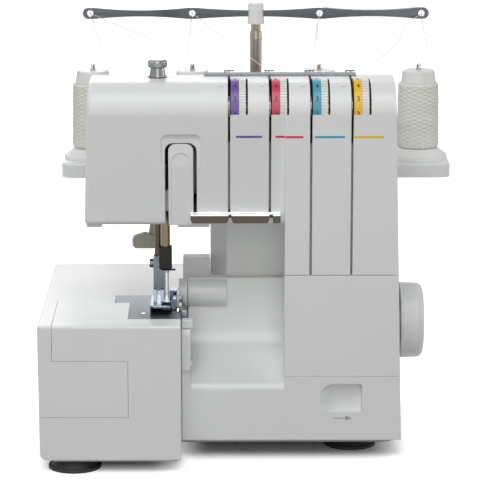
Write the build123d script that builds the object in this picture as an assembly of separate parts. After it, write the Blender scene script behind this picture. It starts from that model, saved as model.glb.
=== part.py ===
from build123d import *
import math
import os

# Serger overlock machine, millimetres. X runs to the right as the user sits, Y to the back, Z up.
# Written files have their origin on the floor under the middle of the machine's outer box.

# Clearances and walls
WALL = 3.0
GAP = 0.4
RUN = 0.05
SOFT_EDGE = 2.0

# Stand
FOOT_D = 40.0
FOOT_NECK_D = 27.0
FOOT_RIM = 2.5
FOOT_H = 8.0
BASE_T = 4.0
BASE_TOP = FOOT_H + BASE_T
BASE_RIGHT = 103.0
BASE_FRONT_RIGHT = -82.0
FOOT_PLACES = ((-138.6, -117.0), (71.4, -58.5), (-130.0, 45.0), (78.0, 36.0))

# Extension table, the cloth plate that slides off to the left
TABLE_LEFT = -164.6
TABLE_DRAFT = 0.9
TABLE_RIGHT = -58.4
TABLE_FRONT = -135.0
TABLE_BACK = 73.0
TABLE_BOTTOM = 10.0
BED_TOP = 113.0
TABLE_CORNER_R = 3.0
TABLE_FOOT_R = 5.0

# Accessory drawer in the table's left front corner
DRAWER_RIGHT = -97.5
DRAWER_DEPTH = 80.0
DRAWER_Z0 = 43.0
DRAWER_Z1 = 86.0
DRAWER_CAP = 10.8
DRAWER_WALL = 2.0
DRAWER_GAP = 0.2

# Arm and right block
ARM_LEFT = -130.7
ARM_DRAFT = 3.6
ARM_UNDER = 180.0
ARM_FRONT_LOW = -91.0
ARM_FRONT_HIGH = -99.0
FACE_TOP = 265.0
FRONT_TOP_R = 22.0
ARM_TOP = FACE_TOP + FRONT_TOP_R
CREST_BACK = -45.0
ARM_BACK = 50.0
ARM_BACK_TOP = 269.0
ARM_EDGE_R = 4.0
ARM_CREST_R = 20.0
ARM_BACK_R = 15.0
ARM_END_R = 3.0
UNDER_TABS = ((-129.5, -118.0), (-61.0, -37.0))
UNDER_TAB_Y0 = -84.5
UNDER_TAB_Y1 = -78.0
UNDER_TAB_H = 2.8
STEP_X = 19.5
BODY_RIGHT_LOW = 105.5
BODY_RIGHT_HIGH = 101.5
SEAM_Z = 143.5
TRIM_TOP = ARM_TOP + 30.0

# Column and lower body
COLUMN_FRONT = -35.0
COLUMN_BOTTOM = 128.0
COLUMN_LEFT = -24.2
COLUMN_CHAMFER_X = 12.6
COLUMN_CHAMFER_Y = 20.0
BED_LEFT = TABLE_RIGHT + GAP
BED_RIGHT = 106.0
BED_BACK = 62.0
BED_LOW_TOP = 120.0
BULGE_LEFT = 28.0
BULGE_FRONT = -50.0
REAR_STEP_TOP = 141.0
REAR_STEP_DEPTH = 14.0

# Thread slots and tension dials
SLOT_FIRST_X = -22.2
DIAL_PITCH = 30.5
SLOT_W = 1.7
SLOT_RISE = 10.0
SLOT_SHORT_Z = ARM_UNDER + SLOT_RISE
CHANNEL_DEPTH = 11.0
DIAL_SET = 1.5
DIAL_Y = ARM_FRONT_HIGH + FRONT_TOP_R + DIAL_SET
DIAL_Z = FACE_TOP + DIAL_SET
DIAL_R = FRONT_TOP_R
BAND_W = 6.2
KNURL_W = 5.1
KNURL_TEETH = 60
KNURL_DEPTH = 0.7
KNURL_GROOVE = 0.9
DIAL_GAP = 0.9
SPINDLE_R = 3.0
DISC_R = 9.0
DISC_T = 0.5

# Take-up opening and its arch cover on the arm's face
ARCH_X = -58.2
ARCH_W = 18.6
ARCH_TOP = 242.5
ARCH_CORNER_R = 5.5
ARCH_SLOT = 2.6
ARCH_TOP_GAP = 0.8
ARCH_RELIEF_W = 14.6
ARCH_RELIEF_TOP = 235.5
ARCH_RELIEF = 0.5
SCOOP_W = 28.8
SCOOP_TOP = 250.0
SCOOP_LOW = 226.0
SCOOP_DEPTH = 2.6
SCOOP_CORNER_R = 4.0

# Needle and presser bars
NEEDLE_X = -70.5
NEEDLE_Y = -73.0
NEEDLE_PITCH = 2.5
NEEDLE_OFFSET = 0.7
NEEDLE_BAR_R = 3.5
NEEDLE_TIP_Z = 117.0
NEEDLE_STROKE = 12.0
PRESSER_X = -76.0
PRESSER_Y = -57.0
PRESSER_BAR_R = 3.2
PRESSER_LIFT = 5.5
FOOT_SOLE_Z = BED_TOP + GAP
BUSH_WALL = 2.0
KNOB_R = 7.4
KNOB_RISE = 7.5
KNOB_Z = ARM_TOP + KNOB_RISE

# Main casting inside the arm and column
HEAD_FRONT = -82.0
HEAD_BACK = -40.0
HEAD_LOW = 189.0
HEAD_BLOCK_H = 16.0
HEAD_HIGH = 258.0
HEAD_LEFT = PRESSER_X - 11.0
HEAD_RIGHT = NEEDLE_X + 9.0
LEG_X0 = 36.0
LEG_X1 = 48.0
LEG_Y0 = -30.0
LEG_Y1 = -8.0
BEAM_Z1 = 235.0
BAR_BUSHES = ((NEEDLE_X, NEEDLE_Y, HEAD_LOW, NEEDLE_BAR_R),
              (NEEDLE_X, NEEDLE_Y, HEAD_HIGH, NEEDLE_BAR_R),
              (PRESSER_X, PRESSER_Y, HEAD_LOW, PRESSER_BAR_R))

# Needles, clamp and presser details
NEEDLE_R = 0.45
NEEDLE_SHANK_R = 0.95
NEEDLE_OUT = 25.5
NEEDLE_POINT = 4.0
CLAMP_H = 17.5
CLAMP_WALL = 1.4
CLAMP_FIN = 0.6
COLLAR_H = 5.0
NEEDLE_COLLAR_Z = HEAD_LOW + HEAD_BLOCK_H + NEEDLE_STROKE + 2.0
PRESSER_COLLAR_Z = HEAD_LOW + HEAD_BLOCK_H + 8.0
ANKLE_Z0 = 128.0
ANKLE_H = 22.0
ANKLE_W = 8.0
SOLE_LEFT = -82.0
SOLE_RIGHT = -62.2
SOLE_FRONT = -95.5
SOLE_BACK = -45.0
SOLE_T = 2.0
TOE_RIGHT = -65.6
TOE_BEND = -85.0
TOE_LIFT = 3.6
CHEEK_T = 2.5
FINGER_H = 8.0
KNOB_H = 6.0
KNOB_CROWN_R = 2.4
KNOB_SCREW_Z = HEAD_HIGH - 2.0
KNOB_SCREW_R = 5.2
KNOB_BORE = 18.0
SPRING_R = 4.4
SPRING_WIRE = 1.2
SPRING_TURNS = 8

# Lifter lever
LIFTER_X = -79.0
LIFTER_Y = -5.0
LIFTER_Z = 192.0
LIFTER_T = 4.0
LIFTER_DROP = 42.0
LIFTER_W = 6.5
PADDLE_W = 19.0
PADDLE_H = 12.0

# Drive
SHAFT_Y = -20.0
SHAFT_Z = 89.0
SHAFT_R = 5.0
PULLEY_R = 24.0
MOTOR_PULLEY_R = 8.0
PULLEY_X = 66.0
PULLEY_W = 10.0
MOTOR_Y = 25.0
MOTOR_Z = 50.0
MOTOR_R = 27.0
MOTOR_L = 58.0
BELT_T = 2.5
BELT_W = 7.0
BELT_CLEAR = 0.3
WHEEL_R = 29.7
WHEEL_X0 = 111.0
WHEEL_X1 = 129.4
WHEEL_EDGE_R = 5.5
WHEEL_WALL = 4.0
WHEEL_HUB_R = 12.0
WHEEL_HUB_OUT = 3.0
MOTOR_SHAFT_R = 3.0

# Looper cover
COVER_LEFT = -54.0
COVER_BACK = -38.0
COVER_BOTTOM = 14.5
COVER_LEDGE_Z = 58.0
COVE_Y = -46.0
COVE_Z = 78.0
NOSE_R = 11.0
NOSE_Z = 116.0
NOSE_LEFT = -61.0
CREASE_Z = 64.5
CREASE_DEPTH = 0.35
LATCH_Z0 = 70.0
LATCH_Z1 = 77.0
LATCH_RIGHT = -50.0
LATCH_OUT = 2.5
RAIL_RIGHT = -49.6
RAIL_H = 4.5
RAIL_DEPTH = 8.0
COVER_WALL = 2.5
COVER_END_TOP = 104.0
COVER_END_DEPTH = 19.0
HINGE_Y = -91.0
HINGE_Z = 19.0
HINGE_ROD_R = 2.0
KNUCKLE_R = 4.5
KNUCKLE_L = 8.0
BRACKET_XS = (-47.0, 88.0)
KNUCKLE_XS = (-36.0, 74.0)
RECESS_X0 = 46.7
RECESS_X1 = 78.4
RECESS_Z0 = 36.5
RECESS_Z1 = 58.5
RECESS_DEPTH = 7.0
RECESS_RAMP = 12.0

# Needle plate, knives and loopers
PLATE_T = 2.0
PLATE_LEFT = -97.8
PLATE_TAB_LEFT = -109.6
PLATE_FRONT = -112.5
PLATE_BACK = -37.5
PLATE_TAB_FRONT = -61.0
PLATE_RIGHT = BED_LEFT - GAP
BLADE_T = 1.8
KNIFE_Y = -84.0
KNIFE_W = 11.0
KNIFE_PIVOT_Y = -51.0
KNIFE_PIVOT_Z = 58.0
KNIFE_ARM_X0 = BED_LEFT + 0.1
KNIFE_ARM_X1 = COVER_LEFT - GAP
KNIFE_ARM_Z = 89.0
KNIFE_ARM_H = 7.0
KNIFE_ARM_W = 6.0
KNIFE_RISER_W = 4.0
KNIFE_ROOM = 4.5
KNIFE_LIP_GAP = 1.2
KNIFE_LIP_Z1 = 114.0
KNIFE_TOP = 117.5
PIVOT_PIN_R = 2.5
FRAME_FRONT = -46.0
FRAME_RIGHT = -34.0
FRAME_LOW_TOP = 66.0
PILLAR_X0 = -48.0
LOOPER_FRONT = -71.5
LOOPER_STEP = 6.0
LOOPER_T = 3.0
LOOPER_PIN_R = 3.0
LOOPER_HUB_R = 6.5
LOOPER_LOW_X = -42.0
LOOPER_LOW_Z = 36.0
LOOPER_HIGH_X = -40.0
LOOPER_HIGH_Z = 50.0

# Feed dog
FEED_STRIPS = ((-80.5, -76.5), (-74.8, -71.8))
FEED_FRONT = -67.0
FEED_BACK = -49.0
FEED_STROKE = 2.0
FEED_TOOTH = 1.5
FEED_ROD_X = -76.0
FEED_ROD_R = 2.0

# Mains inlet and switch on the right side
INLET_Y0 = 28.0
INLET_Y1 = 50.0
INLET_Z0 = 22.0
INLET_Z1 = 38.0
SWITCH_Y0 = 32.0
SWITCH_Y1 = 46.0
SWITCH_Z0 = 48.0
SWITCH_Z1 = 68.0
SWITCH_PIN_R = 1.2
SWITCH_ROOM = 1.2

# Spool stand
TRAY_X = 158.0
TRAY_FRONT = 71.0
TRAY_BACK = 135.0
TRAY_Z0 = 185.0
TRAY_Z1 = 196.8
TRAY_WALL = 2.5
TRAY_CORNER_R = 8.0
STAY_W = 30.0
STAY_RISE = 14.0
SPOOL_Y = (TRAY_FRONT + TRAY_BACK) / 2
SPOOL_INNER_X = 51.8
SPOOL_OUTER_X = 133.2
SPOOL_XS = (-SPOOL_OUTER_X, -SPOOL_INNER_X, SPOOL_INNER_X, SPOOL_OUTER_X)
SEAT_R = 24.2
SEAT_H = 8.2
SEAT_RIM = 2.6
CONE_EDGE_R = 3.0
PIN_R = 2.0
PIN_TOP = 274.0
CONE_R_TOP = 16.6
CONE_R_LOW = 17.4
CONE_H = 54.0
CAP_R = 14.3
CAP_H = 9.7

# Telescopic thread pole
TUBE_R = 4.9
ROD_R = 4.0
ROD_LENGTH = 110.0
ROD_SHOWN = 6.0
BAR_Z = 315.5
BAR_H = 9.0
BAR_WAIST = 2.0
BAR_T = 5.0
EYELET_R = 2.6
HUB_R = 6.9
HUB_H = 17.0
TUBE_TOP = BAR_Z - HUB_H / 2 - ROD_SHOWN
COLLAR_TAPER = 6.6
EYELET_OUTER_X = 134.7
EYELET_XS = (-EYELET_OUTER_X, -SPOOL_INNER_X, SPOOL_INNER_X, EYELET_OUTER_X)
THREAD_D = 0.5
GUIDE_Y = -47.0
GUIDE_T = 1.2
TOP_GUIDE_X0 = -41.0
TOP_GUIDE_X1 = 74.0
GUIDE_SPANS = ((-51.0, -22.7), (-20.4, 7.9), (10.6, 16.2))
EYELET_RUN = 4.5
BAR_OVERHANG = 6.0
HOOK_H = 3.6
LOOSE_RUN = ((119.9, 90.0, 307.2), (115.0, 65.0, 298.4), (100.9, 30.0, 291.3), (87.1, -5.0, 289.2))
THREAD_STARTS = ((12.0, ()), (-6.0, ()), (-5.0, ()), (10.0, LOOSE_RUN))

# Screws and lamp
SCREW_HEAD_R = 3.2
SCREW_HEAD_H = 1.8
SCREW_CROSS = 1.0
SCREW_PLACES = ((-100.0, 230.0), (80.0, 230.0), (-20.0, 200.0), (80.0, 150.0))
PLATE_SCREW_X = -86.8
PLATE_SCREW_Y = -97.0
PLATE_SCREW_R = 1.9
PLATE_SCREW_H = 0.5
LAMP_X0 = -122.0
LAMP_X1 = -98.0
LAMP_Y = -50.0


def right_edge(z):
    """X of the body's right side, which leans in towards the top."""
    lean = (BODY_RIGHT_HIGH - BODY_RIGHT_LOW) / (ARM_TOP - COLUMN_BOTTOM)
    return BODY_RIGHT_LOW + lean * (z - COLUMN_BOTTOM)


# Values worked out from the sizes above
FACE_LEAN = math.atan2(ARM_FRONT_LOW - ARM_FRONT_HIGH, FACE_TOP - ARM_UNDER)
BLOCK_FRONT = ARM_FRONT_HIGH + FRONT_TOP_R * (1 / math.cos(FACE_LEAN) - 1)
COVER_FRONT = BLOCK_FRONT
STITCH_X = NEEDLE_X + NEEDLE_OFFSET
SWITCH_X = right_edge(SWITCH_Z1) - WALL - 2.1
SLOT_XS = [SLOT_FIRST_X + DIAL_PITCH * i for i in range(4)]
MIDDLE_X = (TABLE_LEFT + TRAY_X) / 2
MIDDLE_Y = (FOOT_PLACES[0][1] - FOOT_D / 2 + TRAY_BACK) / 2


# Helpers

def block(x0, x1, y0, y1, z0, z1):
    """Box between two corners."""
    return Pos((x0 + x1) / 2, (y0 + y1) / 2, (z0 + z1) / 2) * Box(x1 - x0, y1 - y0, z1 - z0)


def rod_x(x0, x1, y, z, r):
    return Pos((x0 + x1) / 2, y, z) * Rot(0, 90, 0) * Cylinder(r, x1 - x0)


def rod_y(x, y0, y1, z, r):
    return Pos(x, (y0 + y1) / 2, z) * Rot(90, 0, 0) * Cylinder(r, y1 - y0)


def rod_z(x, y, z0, z1, r):
    return Pos(x, y, (z0 + z1) / 2) * Cylinder(r, z1 - z0)


def taper_z(x, y, z0, z1, r0, r1):
    return Pos(x, y, (z0 + z1) / 2) * Cone(r0, r1, z1 - z0)


def outline(points, radii):
    """Closed face through corner points, each corner rounded by its radius."""
    return make_face(FilletPolyline(*points, radius=radii, close=True))


def prism_x(face, x0, x1):
    """Face drawn in (y, z), carried from x0 to x1."""
    return extrude(Plane.YZ.offset(x0) * face, x1 - x0)


def prism_y(face, y0, y1):
    """Face drawn in (x, z), carried from y0 to y1."""
    return extrude(Plane.XZ.offset(-y0) * face, y0 - y1)


def prism_z(face, z0, z1):
    """Face drawn in (x, y), carried from z0 to z1."""
    return extrude(Plane.XY.offset(z0) * face, z1 - z0)


def rect(x0, x1, y0, y1):
    return Pos((x0 + x1) / 2, (y0 + y1) / 2) * Rectangle(x1 - x0, y1 - y0)


def save(name, *pieces):
    """Write one node, moved to the origin; a node of several solids keeps them separate."""
    solids = [Pos(-MIDDLE_X, -MIDDLE_Y, 0) * solid for piece in pieces for solid in piece.solids()]
    whole = solids[0] if len(solids) == 1 else Compound(children=solids)
    export_step(whole, f"parts/{name}.step")


# Casing envelope, drawn once and used at two sizes: outside, and inside by the wall

def face_y(z):
    """Y of the arm's front face, which leans back towards the bottom."""
    return ARM_FRONT_LOW - (z - ARM_UNDER) * math.tan(FACE_LEAN)


def arm_profile(inset):
    side = outline(
        [(ARM_FRONT_LOW, ARM_UNDER), (face_y(ARM_TOP), ARM_TOP), (CREST_BACK, ARM_TOP),
         (ARM_BACK, ARM_BACK_TOP), (ARM_BACK, ARM_UNDER)],
        [ARM_EDGE_R, FRONT_TOP_R, ARM_CREST_R, ARM_BACK_R, ARM_EDGE_R])
    return offset(side, -inset) if inset else side


def left_edge(z):
    """X of the arm's left end, which leans in towards the top."""
    return ARM_LEFT + ARM_DRAFT * (z - ARM_UNDER) / (ARM_TOP - ARM_UNDER)


def column_plan(inset):
    far = BODY_RIGHT_LOW + WALL
    left = COLUMN_LEFT - COLUMN_CHAMFER_X
    plan = outline(
        [(COLUMN_LEFT, COLUMN_FRONT), (far, COLUMN_FRONT), (far, ARM_BACK), (left, ARM_BACK),
         (left, COLUMN_FRONT + COLUMN_CHAMFER_Y)],
        [SOFT_EDGE, 0, 0, ARM_EDGE_R, SOFT_EDGE])
    return offset(plan, -inset) if inset else plan


def side_trim(inset):
    """Everything between the arm's leaning left end and the body's leaning right side."""
    low, high = 0, TRIM_TOP
    lean = Polyline((left_edge(low) + inset, low), (right_edge(low) - inset, low),
                    (right_edge(high) - inset, high), (left_edge(high) + inset, high), close=True)
    return prism_y(make_face(lean), TABLE_FRONT, TRAY_BACK)


def casing_envelope(inset):
    """Arm, right block and column; the block's underside is round about the looper cover's hinge."""
    far = BODY_RIGHT_LOW + WALL
    trim = side_trim(inset)
    arm = prism_x(arm_profile(inset), ARM_LEFT - WALL, far) & trim
    if not inset:
        arm = fillet(arm.faces().sort_by(Axis.X)[0].edges(), ARM_END_R)
    side_block = block(STEP_X + inset, far, BLOCK_FRONT + inset, ARM_BACK - inset, COLUMN_BOTTOM, FACE_TOP)
    side_block -= rod_x(STEP_X - 1, far + 1, HINGE_Y, HINGE_Z, SEAM_Z - HINGE_Z + inset)
    column_low = COLUMN_BOTTOM - (WALL if inset else 0)
    column = prism_z(column_plan(inset), column_low, ARM_UNDER + 2 * WALL)
    return arm + (side_block & trim) + (column & trim)


# Plane on the arm's front face: x along the arm, y up the face from its lower edge
ARM_FACE = Plane(origin=(0, ARM_FRONT_LOW, ARM_UNDER), x_dir=(1, 0, 0),
                 z_dir=(0, -math.cos(FACE_LEAN), -math.sin(FACE_LEAN)))


def arch_face(grow, rise):
    """Take-up opening, from below the arm's edge to a top with round corners."""
    half = ARCH_W / 2 + grow
    top = ARCH_TOP - ARM_UNDER + rise
    return outline([(ARCH_X - half, -WALL), (ARCH_X + half, -WALL), (ARCH_X + half, top), (ARCH_X - half, top)],
                   [0, 0, ARCH_CORNER_R + rise, ARCH_CORNER_R + rise])


def relief_face():
    """Half-round panel sunk into the take-up cover."""
    half = ARCH_RELIEF_W / 2
    spring = ARCH_RELIEF_TOP - ARM_UNDER - half
    panel = rect(ARCH_X - half, ARCH_X + half, -WALL, spring)
    return panel + Pos(ARCH_X, spring) * Circle(half)


def scoop_wedge(half_width):
    """Space in front of the scoop's floor, which starts at the arm's face and is deepest at its top."""
    wedge = Polyline((TABLE_FRONT, SCOOP_LOW), (face_y(SCOOP_LOW), SCOOP_LOW),
                     (face_y(SCOOP_TOP) + SCOOP_DEPTH, SCOOP_TOP), (TABLE_FRONT, SCOOP_TOP), close=True)
    return prism_x(make_face(wedge), ARCH_X - half_width, ARCH_X + half_width)


def slot_base(x):
    """Lower end of a thread slot, and the Y of the face that it is cut into."""
    if x < STEP_X:
        return SLOT_SHORT_Z, face_y(SLOT_SHORT_Z)
    return SEAM_Z, BLOCK_FRONT


def cut_thread_slots(front, outer):
    """Walled channels for the thread, and the windows that the dials turn in."""
    half = SLOT_W / 2
    wall = half + WALL / 2
    under_dial = DIAL_Z - DIAL_R
    for x in SLOT_XS:
        low, face = slot_base(x)
        channel = block(x - wall, x + wall, ARM_FRONT_HIGH, face + CHANNEL_DEPTH + WALL / 2, low, under_dial)
        front += channel & outer
    for x in SLOT_XS:
        low, face = slot_base(x)
        past_edge = WALL if low == SEAM_Z else 0
        front -= block(x - half, x + half, TABLE_FRONT, face + CHANNEL_DEPTH, low - past_edge, under_dial)
        front -= block(x - half, x + half, TABLE_FRONT, GUIDE_Y - WALL, under_dial - WALL, TRIM_TOP)
        dial_end = x + half + BAND_W + KNURL_W + 2 * DIAL_GAP
        front -= block(x, dial_end, TABLE_FRONT, DIAL_Y + WALL, FACE_TOP, TRIM_TOP)
        front -= rod_x(x, dial_end, DIAL_Y, DIAL_Z, DIAL_R + DIAL_GAP)
    return front


def build_casing():
    outer = casing_envelope(0)
    shell = outer - casing_envelope(WALL)
    front_half = block(TABLE_LEFT, TRAY_X, TABLE_FRONT, COLUMN_FRONT, FOOT_H, TRIM_TOP)
    rear = shell - front_half
    front = cut_thread_slots(shell & front_half, outer)

    half = SCOOP_W / 2
    backing = block(ARCH_X - half - WALL, ARCH_X + half + WALL, ARM_FRONT_HIGH, face_y(SCOOP_LOW) + 2 * WALL,
                    SCOOP_LOW - WALL, SCOOP_TOP + WALL)
    front += backing & outer
    scoop = outline([(ARCH_X - half, SCOOP_LOW), (ARCH_X + half, SCOOP_LOW), (ARCH_X + half, SCOOP_TOP),
                     (ARCH_X - half, SCOOP_TOP)], [0, 0, SCOOP_CORNER_R, SCOOP_CORNER_R])
    front -= prism_y(scoop, TABLE_FRONT, COLUMN_FRONT) & scoop_wedge(half)
    front -= extrude(ARM_FACE * arch_face(ARCH_SLOT, ARCH_TOP_GAP), -4 * WALL)
    for x0, x1 in UNDER_TABS:
        front += block(x0, x1, UNDER_TAB_Y0, UNDER_TAB_Y1, ARM_UNDER - UNDER_TAB_H, ARM_UNDER + WALL / 2)
    front -= block(PRESSER_X - 2 * PRESSER_BAR_R, NEEDLE_X + 2 * NEEDLE_BAR_R, ARM_FRONT_LOW + 2 * WALL,
                   PRESSER_Y + 3 * PRESSER_BAR_R, ARM_UNDER - WALL, ARM_UNDER + 2 * WALL)
    front -= rod_z(PRESSER_X, PRESSER_Y, ARM_TOP - 3 * WALL, ARM_TOP + WALL, KNOB_R)
    rear -= block(LIFTER_X - PADDLE_W - WALL, LIFTER_X + 2 * PIVOT_PIN_R + WALL, LIFTER_Y - LIFTER_T,
                  LIFTER_Y + LIFTER_T, ARM_UNDER - WALL, ARM_UNDER + 2 * WALL)
    save("front_cover", front)
    save("rear_housing", rear)

    arch = extrude(ARM_FACE * arch_face(0, 0), -2 * WALL) - scoop_wedge(ARCH_W)
    arch -= extrude(ARM_FACE * relief_face(), -ARCH_RELIEF)
    arch -= extrude(ARM_FACE * relief_face(), -4 * WALL) & Pos(0, ARCH_RELIEF, 0) * scoop_wedge(ARCH_W)
    stem = block(HEAD_RIGHT - 2 * WALL, HEAD_RIGHT, face_y(ARM_UNDER) + WALL, HEAD_FRONT, HEAD_LOW,
                 HEAD_LOW + 4 * WALL)
    trim = block(TABLE_LEFT, TRAY_X, TABLE_FRONT, TRAY_BACK, ARM_UNDER, TRIM_TOP)
    save("take_up_cover", (arch + stem) & trim)


def build_castings():
    head = block(HEAD_LEFT, HEAD_RIGHT, HEAD_FRONT, HEAD_BACK, HEAD_LOW, HEAD_LOW + HEAD_BLOCK_H)
    head += block(HEAD_LEFT, HEAD_RIGHT, HEAD_FRONT, HEAD_BACK, HEAD_HIGH, HEAD_HIGH + HEAD_BLOCK_H)
    head += block(HEAD_LEFT, HEAD_RIGHT, HEAD_BACK - 2 * WALL, HEAD_BACK, HEAD_LOW, HEAD_HIGH + HEAD_BLOCK_H)
    head += block(HEAD_LEFT, LEG_X1, HEAD_BACK - 2 * WALL, LEG_Y1, HEAD_LOW + 2 * WALL, BEAM_Z1)
    head -= block(HEAD_RIGHT + WALL, LEG_X0 - WALL, HEAD_BACK, LEG_Y1 - WALL, HEAD_LOW + 3 * WALL,
                  BEAM_Z1 + WALL)
    head += block(LEG_X0, LEG_X1, LEG_Y0, LEG_Y1, BASE_TOP, BEAM_Z1)
    head += rod_y(LIFTER_X, HEAD_BACK, LIFTER_Y + LIFTER_T, LIFTER_Z, PIVOT_PIN_R)
    for x, y, z, r in BAR_BUSHES:
        head -= rod_z(x, y, z - WALL, z + HEAD_BLOCK_H + WALL, r + BUSH_WALL)
    head -= rod_z(PRESSER_X, PRESSER_Y, HEAD_HIGH - WALL, HEAD_HIGH + HEAD_BLOCK_H + WALL, KNOB_SCREW_R + RUN)
    head -= rod_x(LEG_X0 - WALL, LEG_X1 + WALL, SHAFT_Y, SHAFT_Z, SHAFT_R + BUSH_WALL)
    save("head_frame", head)

    seat_z = BED_TOP - PLATE_T
    inner_left = PLATE_LEFT + 2 * WALL
    inner_right = PLATE_RIGHT - WALL
    inner_front = COVER_FRONT + WALL
    inner_back = PLATE_BACK - WALL
    bed = block(inner_left, inner_right, inner_front, inner_back, BASE_TOP, BASE_TOP + 2 * WALL)
    bed += block(inner_left, inner_left + WALL, inner_front, inner_back, BASE_TOP, seat_z)
    bed += block(inner_left, FRAME_RIGHT, FRAME_FRONT, inner_back, BASE_TOP, FRAME_LOW_TOP)
    bed += block(inner_left, inner_right, FRAME_FRONT, inner_back, BASE_TOP, seat_z)
    bed += block(PILLAR_X0, FRAME_RIGHT, FRAME_FRONT, LEG_Y1, BASE_TOP, FRAME_LOW_TOP)
    bed += block(PILLAR_X0, FRAME_RIGHT, LEG_Y0, LEG_Y1, BASE_TOP, SHAFT_Z + SHAFT_R + 3 * BUSH_WALL)
    knife_low = PLATE_RIGHT - 2 * BLADE_T
    bed += block(knife_low - 2 * WALL, knife_low, KNIFE_Y - KNIFE_W / 2, KNIFE_Y + KNIFE_W / 2, BASE_TOP,
                 seat_z - PLATE_T)
    bed -= rod_x(PILLAR_X0 - WALL, FRAME_RIGHT + WALL, SHAFT_Y, SHAFT_Z, SHAFT_R + BUSH_WALL)
    bed += rod_y(LOOPER_LOW_X, LOOPER_FRONT, FRAME_FRONT, LOOPER_LOW_Z, LOOPER_PIN_R)
    bed += rod_y(LOOPER_HIGH_X, LOOPER_FRONT - LOOPER_STEP, FRAME_FRONT, LOOPER_HIGH_Z, LOOPER_PIN_R)
    lug_x = KNIFE_ARM_X1 + GAP
    bed += block(lug_x, lug_x + 2 * WALL, KNIFE_PIVOT_Y - 2 * PIVOT_PIN_R, FRAME_FRONT,
                 KNIFE_PIVOT_Z - 2 * PIVOT_PIN_R, KNIFE_PIVOT_Z + 2 * PIVOT_PIN_R)
    bed += rod_x(KNIFE_ARM_X0, lug_x, KNIFE_PIVOT_Y, KNIFE_PIVOT_Z, PIVOT_PIN_R)
    bed -= rod_y(FEED_ROD_X, FRAME_FRONT - 1, PLATE_BACK, seat_z - 9, FEED_ROD_R + RUN)
    save("bed_frame", bed)

    bushes = []
    for x, y, z, r in BAR_BUSHES:
        high = z + HEAD_BLOCK_H
        bushes.append(rod_z(x, y, z, high, r + BUSH_WALL) - rod_z(x, y, z, high, r + RUN))
    for x0, x1 in ((LEG_X0, LEG_X1), (PILLAR_X0, FRAME_RIGHT)):
        bush = rod_x(x0, x1, SHAFT_Y, SHAFT_Z, SHAFT_R + BUSH_WALL)
        bushes.append(bush - rod_x(x0, x1, SHAFT_Y, SHAFT_Z, SHAFT_R + RUN))
    save("bushes", *bushes)


def build_needle_bar():
    clamp_z0 = NEEDLE_TIP_Z + NEEDLE_OUT
    bar_top = ARM_TOP - WALL - NEEDLE_STROKE - 1
    bar = rod_z(NEEDLE_X, NEEDLE_Y, clamp_z0 + CLAMP_H, bar_top, NEEDLE_BAR_R)
    collar_top = NEEDLE_COLLAR_Z + COLLAR_H
    save("needle_bar", bar + rod_z(NEEDLE_X, NEEDLE_Y, NEEDLE_COLLAR_Z, collar_top, NEEDLE_BAR_R + BUSH_WALL))

    half = NEEDLE_BAR_R + CLAMP_WALL
    front = NEEDLE_Y - half
    clamp = block(NEEDLE_X - half, NEEDLE_X + half, front, NEEDLE_Y + half, clamp_z0, clamp_z0 + CLAMP_H)
    clamp = fillet(clamp.edges().filter_by(Axis.Z), half / 3)
    clamp = chamfer(clamp.edges().group_by(Axis.Z)[0], half / 5)
    fin_right = NEEDLE_X + half + 2 * CLAMP_WALL
    clamp += block(NEEDLE_X - half / 2, fin_right, front + half / 5, front + half / 2, clamp_z0 - CLAMP_FIN,
                   clamp_z0 + CLAMP_FIN)
    needles = []
    for side in (-1, 1):
        x = STITCH_X + side * NEEDLE_PITCH / 2
        shank_low = clamp_z0 - NEEDLE_POINT + 1
        shank_top = clamp_z0 + CLAMP_H / 2
        point_top = NEEDLE_TIP_Z + NEEDLE_POINT
        clamp -= rod_z(x, NEEDLE_Y, clamp_z0, shank_top, NEEDLE_SHANK_R)
        clamp += rod_y(x, front - CLAMP_WALL, front, clamp_z0 + CLAMP_H / 4 + side * 2, 1.1)
        needle = rod_z(x, NEEDLE_Y, shank_low, shank_top, NEEDLE_SHANK_R)
        needle += rod_z(x, NEEDLE_Y, point_top, shank_low, NEEDLE_R)
        needle += taper_z(x, NEEDLE_Y, NEEDLE_TIP_Z, point_top, NEEDLE_R / 8, NEEDLE_R)
        needles.append(needle - rod_y(x, NEEDLE_Y - 1, NEEDLE_Y + 1, point_top + 2, NEEDLE_R / 2))
    save("needle_clamp", clamp)
    save("needles", *needles)


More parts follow.
